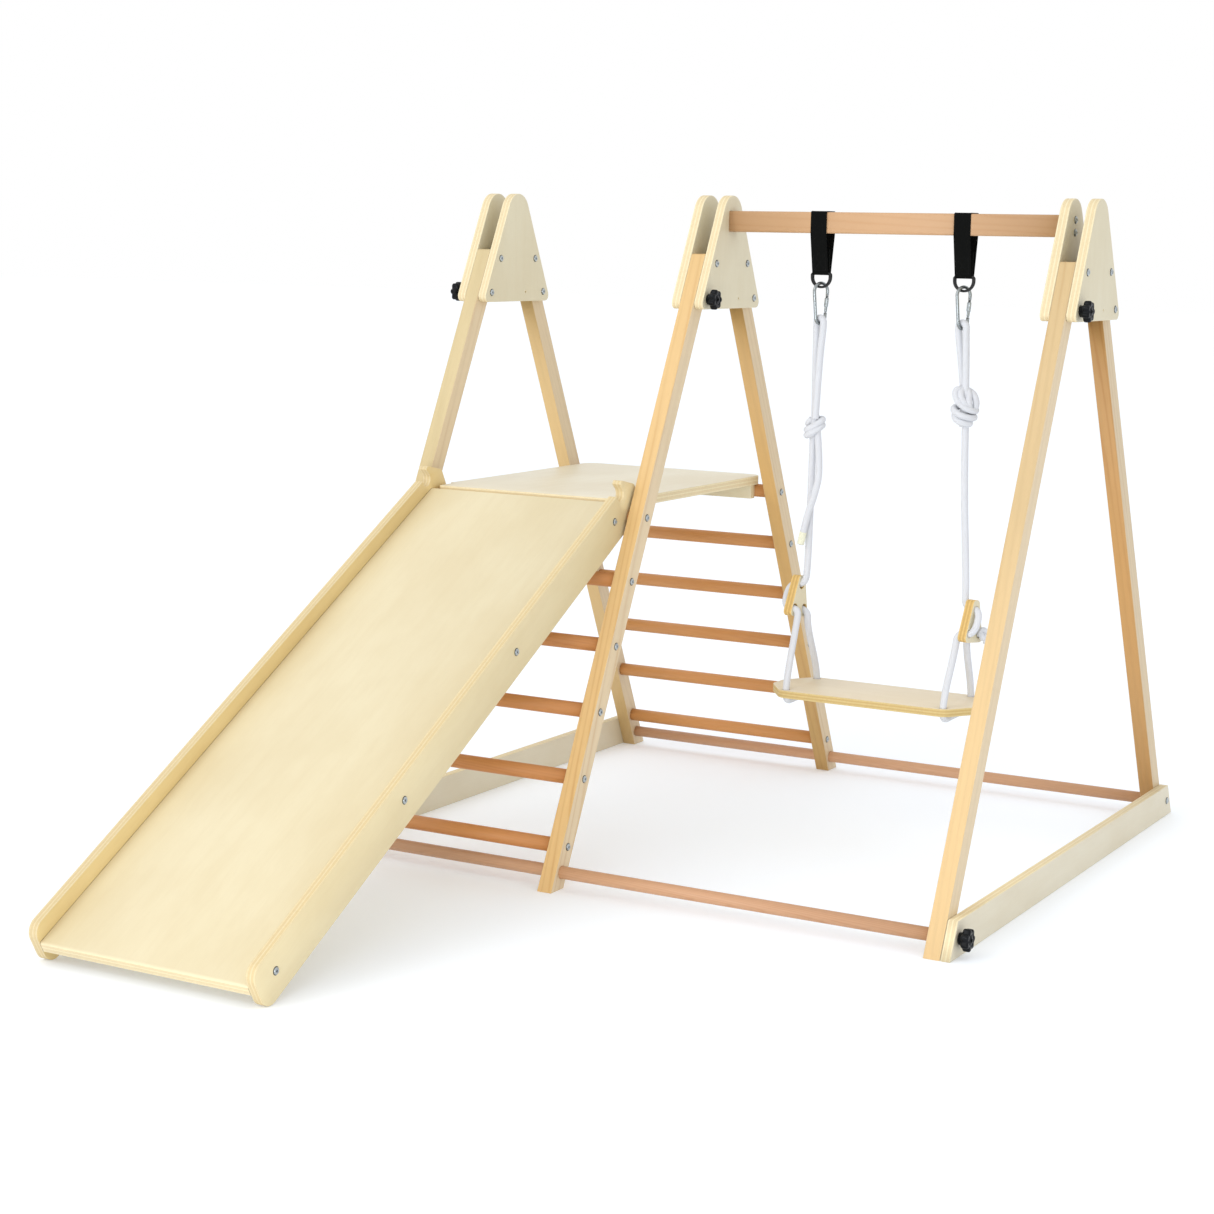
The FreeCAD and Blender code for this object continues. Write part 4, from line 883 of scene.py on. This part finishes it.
def rope_along(name, route):
    """A braided rope on its route, and the line that it follows."""
    points = resample(spline_points(name + "_line", route), 1.1 * MM)
    rope = rope_look(tube(name, points, (ROPE_RADIUS - 0.15) * MM, 40, braid))
    return rope, [tuple(p) for p in points]


def swing_point(sign, out, y, z):
    return row(SWING_X + sign * out, y, z)


def adjuster_point(side, out, y, z):
    """A point beside an adjuster, in the hanging plate's own directions."""
    sign, rope = SIDES[side], ROPE_SETS[side]
    spin = Matrix.Rotation(rope.turn, 3, "Z") @ Matrix.Rotation(-rope.lean, 3, "X")
    return swing_point(sign, rope.plate, 0, rope.plate_z) + spin @ Vector((sign * out, y, z)) * MM


def hook_point(sign, offset, z, aside=0.0, yaw=HOOK_YAW):
    """A point off a plane through a hook's middle: the hook's own, or one turned to another yaw."""
    x = SWING_X + sign * (HANGER_OUT + aside) - offset * math.sin(yaw)
    return row(x, offset * math.cos(yaw), z)


def eye_route(side, sign):
    rope = ROPE_SETS[side]
    over, high = 10.9, HOOK_FOOT + 11.4
    aside, neck = rope.knot_out - HANGER_OUT, rope.knot_z + 15
    below, closed = math.radians(48), math.radians(30)
    return [
        hook_point(sign, -7.4, neck, aside, closed),
        hook_point(sign, -8.6, high - 84, aside * 0.6, below),
        hook_point(sign, -over, high - 21),
        hook_point(sign, -over, high),
        hook_point(sign, over, high),
        hook_point(sign, over, high - 21),
        hook_point(sign, 8.6, high - 84, aside * 0.6, below),
        hook_point(sign, 7.4, neck, aside, closed),
    ]


def main_route(side, sign):
    rope = ROPE_SETS[side]
    outside, inside = 17.0, -17.0
    upper, lower, hole = UPPER_HOLE, LOWER_HOLE, LOWER_HOLE_Y
    under = 294.0      # middle of the rope where it passes under the seat
    return [
        swing_point(sign, rope.knot_out + 3, 0, rope.knot_z - 15),
        swing_point(sign, rope.knot_out + 4, 0, rope.knot_z - 140),
        adjuster_point(side, inside - 1.5, 0, upper + 46),
        adjuster_point(side, inside - 1.0, 0, upper + 2),
        adjuster_point(side, outside + 2.5, 0, upper + 2),
        adjuster_point(side, outside + 2.5, -hole, lower - 2),
        adjuster_point(side, inside - 1.5, -hole, lower - 1),
        adjuster_point(side, inside - 1.5, -hole - 3, lower - 34),
        swing_point(sign, SEAT_HOLE_OUT, -73, under + 46),
        swing_point(sign, SEAT_HOLE_OUT, -78, under - 1.5),
        swing_point(sign, SEAT_HOLE_OUT, -30, under),
        swing_point(sign, SEAT_HOLE_OUT, 30, under),
        swing_point(sign, SEAT_HOLE_OUT, 78, under - 1.5),
        swing_point(sign, SEAT_HOLE_OUT, 73, under + 46),
        adjuster_point(side, inside - 1.5, hole + 3, lower - 34),
        adjuster_point(side, inside - 1.5, hole, lower - 1),
        adjuster_point(side, outside - 1.0, hole, lower),
    ]


def tail_route(sign):
    knot_z = ROPE_SETS["left"].knot_z
    return [
        swing_point(sign, 148, -2, knot_z - 10),
        swing_point(sign, 136, -9, knot_z - 85),
        swing_point(sign, 143, -14, knot_z - 132),
        swing_point(sign, 161, -15, knot_z - 185),
        swing_point(sign, 173, -13, knot_z - 239),
    ]


def knot_point(centre, across, ahead, up):
    """A point in a knot, across to its right, ahead towards its front face, which looks front-right."""
    return centre + Vector((0.866 * across + 0.5 * ahead, 0.5 * across - 0.866 * ahead, up)) * MM


def knot_strand(name, centre, places, radius=6.7):
    route = [knot_point(centre, *place) for place in places]
    points = resample(spline_points(name + "_line", route), MM)
    return tube(name, points, (radius - 0.1) * MM, 36, braid)


def wrapped_places(turns, across, ahead, top, bottom, tilt, start):
    """Control places of a coil that is wrapped round the knot's core."""
    places, per_turn = [], 8
    steps = int(turns * per_turn)
    for k in range(steps + 1):
        angle = start + 2 * math.pi * k / per_turn
        up = top + (bottom - top) * k / steps + tilt * math.cos(angle)
        places.append((across * math.cos(angle), ahead * math.sin(angle), up))
    return places


def left_knot(centre):
    """An overhand knot whose two wraps rise side by side to the right."""
    wraps = wrapped_places(2.25, 16.5, 13, 11, -14, 8.5, math.radians(200))
    strands = [
        knot_strand("left_knot_wraps", centre, [(-6, 0, 14)] + wraps + [(3, 0, -16)]),
        knot_strand("left_knot_core", centre, [(1, 0, 24), (-2, 1, 8), (2, -1, -8), (-1, 0, -26)], 8.2),
        knot_strand("left_knot_collar", centre,
                    [(-13, 2, -10), (-12, 8, -18), (-4, 9, -15), (2, 2, -8)], 6.2),
    ]
    return join("left_overhand_knot", strands)


def right_knot(centre):
    """A bulky doubled overhand knot: two ears above, two broad wraps below."""
    ear = [(-3, 2, 36), (-18, 4, 40), (-25, 9, 28), (-18, 14, 12), (-4, 17, 0), (12, 17, -6),
           (26, 7, -8), (26, -9, -3), (4, -18, 2), (-20, -11, 0), (-27, 4, -6), (-14, 18, -16),
           (8, 18, -22), (25, 6, -22), (18, -13, -17), (-6, -16, -16), (-24, -4, -16), (-18, 13, -29),
           (2, 16, -35), (16, 6, -34), (8, -6, -26)]
    inner_ear = [(-2, 4, 38), (-12, 12, 34), (-12, 16, 22), (-2, 17, 8), (6, 12, -2)]
    lobe = [(3, -2, 36), (14, 4, 33), (22, 12, 22), (26, 10, 6), (20, 4, -8), (8, -2, -12)]
    middle = [(5, 6, 38), (8, 14, 26), (5, 17, 12), (10, 12, 0)]
    drawn_in, pressed_down = 0.84, 0.92
    tight = [[(drawn_in * across, drawn_in * ahead, pressed_down * up) for across, ahead, up in places]
             for places in (ear, inner_ear, lobe, middle)]
    strands = [knot_strand(f"right_knot_{k}", centre, places) for k, places in enumerate(tight)]
    core = [(0, 0, 36), (1, 0, 12), (0, 0, -12), (0, 0, -38)]
    strands.append(knot_strand("right_knot_core", centre, core, 9.5))
    return join("right_overhand_knot", strands)


def rope_look(obj):
    obj.data.shade_smooth()
    paint(obj, ROPE)
    return obj


def stopper(side):
    """The small end knot that bears on an adjuster."""
    radius = 5.7 * MM

    def place(out, y, z):
        return adjuster_point(side, 18 + out, LOWER_HOLE_Y + y, LOWER_HOLE + z)

    ring = [place(3.0 * math.sin(2 * a), 6.2 * math.cos(a), 8.0 * math.sin(a))
            for a in np.linspace(0, 2 * math.pi, 90, endpoint=False)]
    end = [place(-6, 0, 1), place(0, 1, 0), place(5, 2, -3), place(7, 3, -12), place(6.5, 3.5, -18)]
    pieces = [
        tube(f"{side}_stopper_ring", ring, radius, 30, braid, closed=True),
        tube(f"{side}_stopper_end", resample(end, MM), radius, 30, braid),
    ]
    return rope_look(join(f"{side}_stopper_knot", pieces))


def make_ropes():
    for side, sign in SIDES.items():
        rope = ROPE_SETS[side]
        eye, eye_line = rope_along(f"{side}_braided_eye", eye_route(side, sign))
        main, main_line = rope_along(f"{side}_braided_rope", main_route(side, sign))
        centre = swing_point(sign, rope.knot_out, 0, rope.knot_z)
        knot = rope_look(left_knot(centre) if side == "left" else right_knot(centre))
        stop = stopper(side)
        for piece, node in ((eye, f"{side}_rope_eye"), (main, f"{side}_rope"), (knot, f"{side}_rope_knot")):
            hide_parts(node)
            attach(piece, "swing")
        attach(stop, "swing")
    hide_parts("stopper_knots")
    make_tail()


def make_tail():
    tail, line = rope_along("left_braided_tail", tail_route(SIDES["left"]))
    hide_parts("left_rope_tail")
    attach(tail, "swing")
    last_steps = line[-25:-1]
    tape = tube("tail_tape", last_steps, 7.25 * MM, 32)
    band = Shader("tape", roughness=0.35)
    crease = band.noise(band.place((1, 1, 3)), 220.0, 3.0)
    cream = band.ramp(crease, [(0.3, (0.70, 0.70, 0.54)), (0.7, (0.80, 0.80, 0.64))])
    paint(tape, band.finish(cream, None, crease, strength=0.3, distance=0.0005))
    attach(tape, "swing")


make_ropes()


# ------------------------------------------------------------------ stage and light

def make_stage():
    half = 40
    corners = [(-half, -half, 0), (half, -half, 0), (half, half, 0), (-half, half, 0)]
    floor = mesh_object("floor", corners, [(0, 1, 2, 3)], smooth=False)
    floor.location.z = -0.6 * MM
    s = Shader("floor", roughness=0.9, color=(0.785, 0.825, 0.88))
    s.surface.inputs["Emission Color"].default_value = (1, 1, 1, 1)
    s.surface.inputs["Emission Strength"].default_value = 0.205
    paint(floor, s.material)


def area(name, place, target, size, power, spread=180):
    data = bpy.data.lights.new(name, "AREA")
    data.shape = "SQUARE"
    data.size = size
    data.energy = power
    data.spread = math.radians(spread)
    lamp = link(bpy.data.objects.new(name, data))
    lamp.location = place
    lamp.rotation_mode = "QUATERNION"
    lamp.rotation_quaternion = (Vector(target) - Vector(place)).to_track_quat("-Z", "Y")


def make_light():
    world = bpy.data.worlds.new("studio")
    bpy.context.scene.world = world
    world.use_nodes = True
    background = world.node_tree.nodes["Background"]
    background.inputs["Color"].default_value = (1, 1, 1, 1)
    background.inputs["Strength"].default_value = 1.0
    area("key", (-2.6, -6.2, 4.6), (0, 0, 0.5), 4.0, 145)
    area("low_fill", (0.9, -4.4, 0.35), (0.25, -0.2, 0.15), 1.2, 5.5, spread=50)
    bpy.context.scene.view_settings.view_transform = "Standard"


make_stage()
make_light()
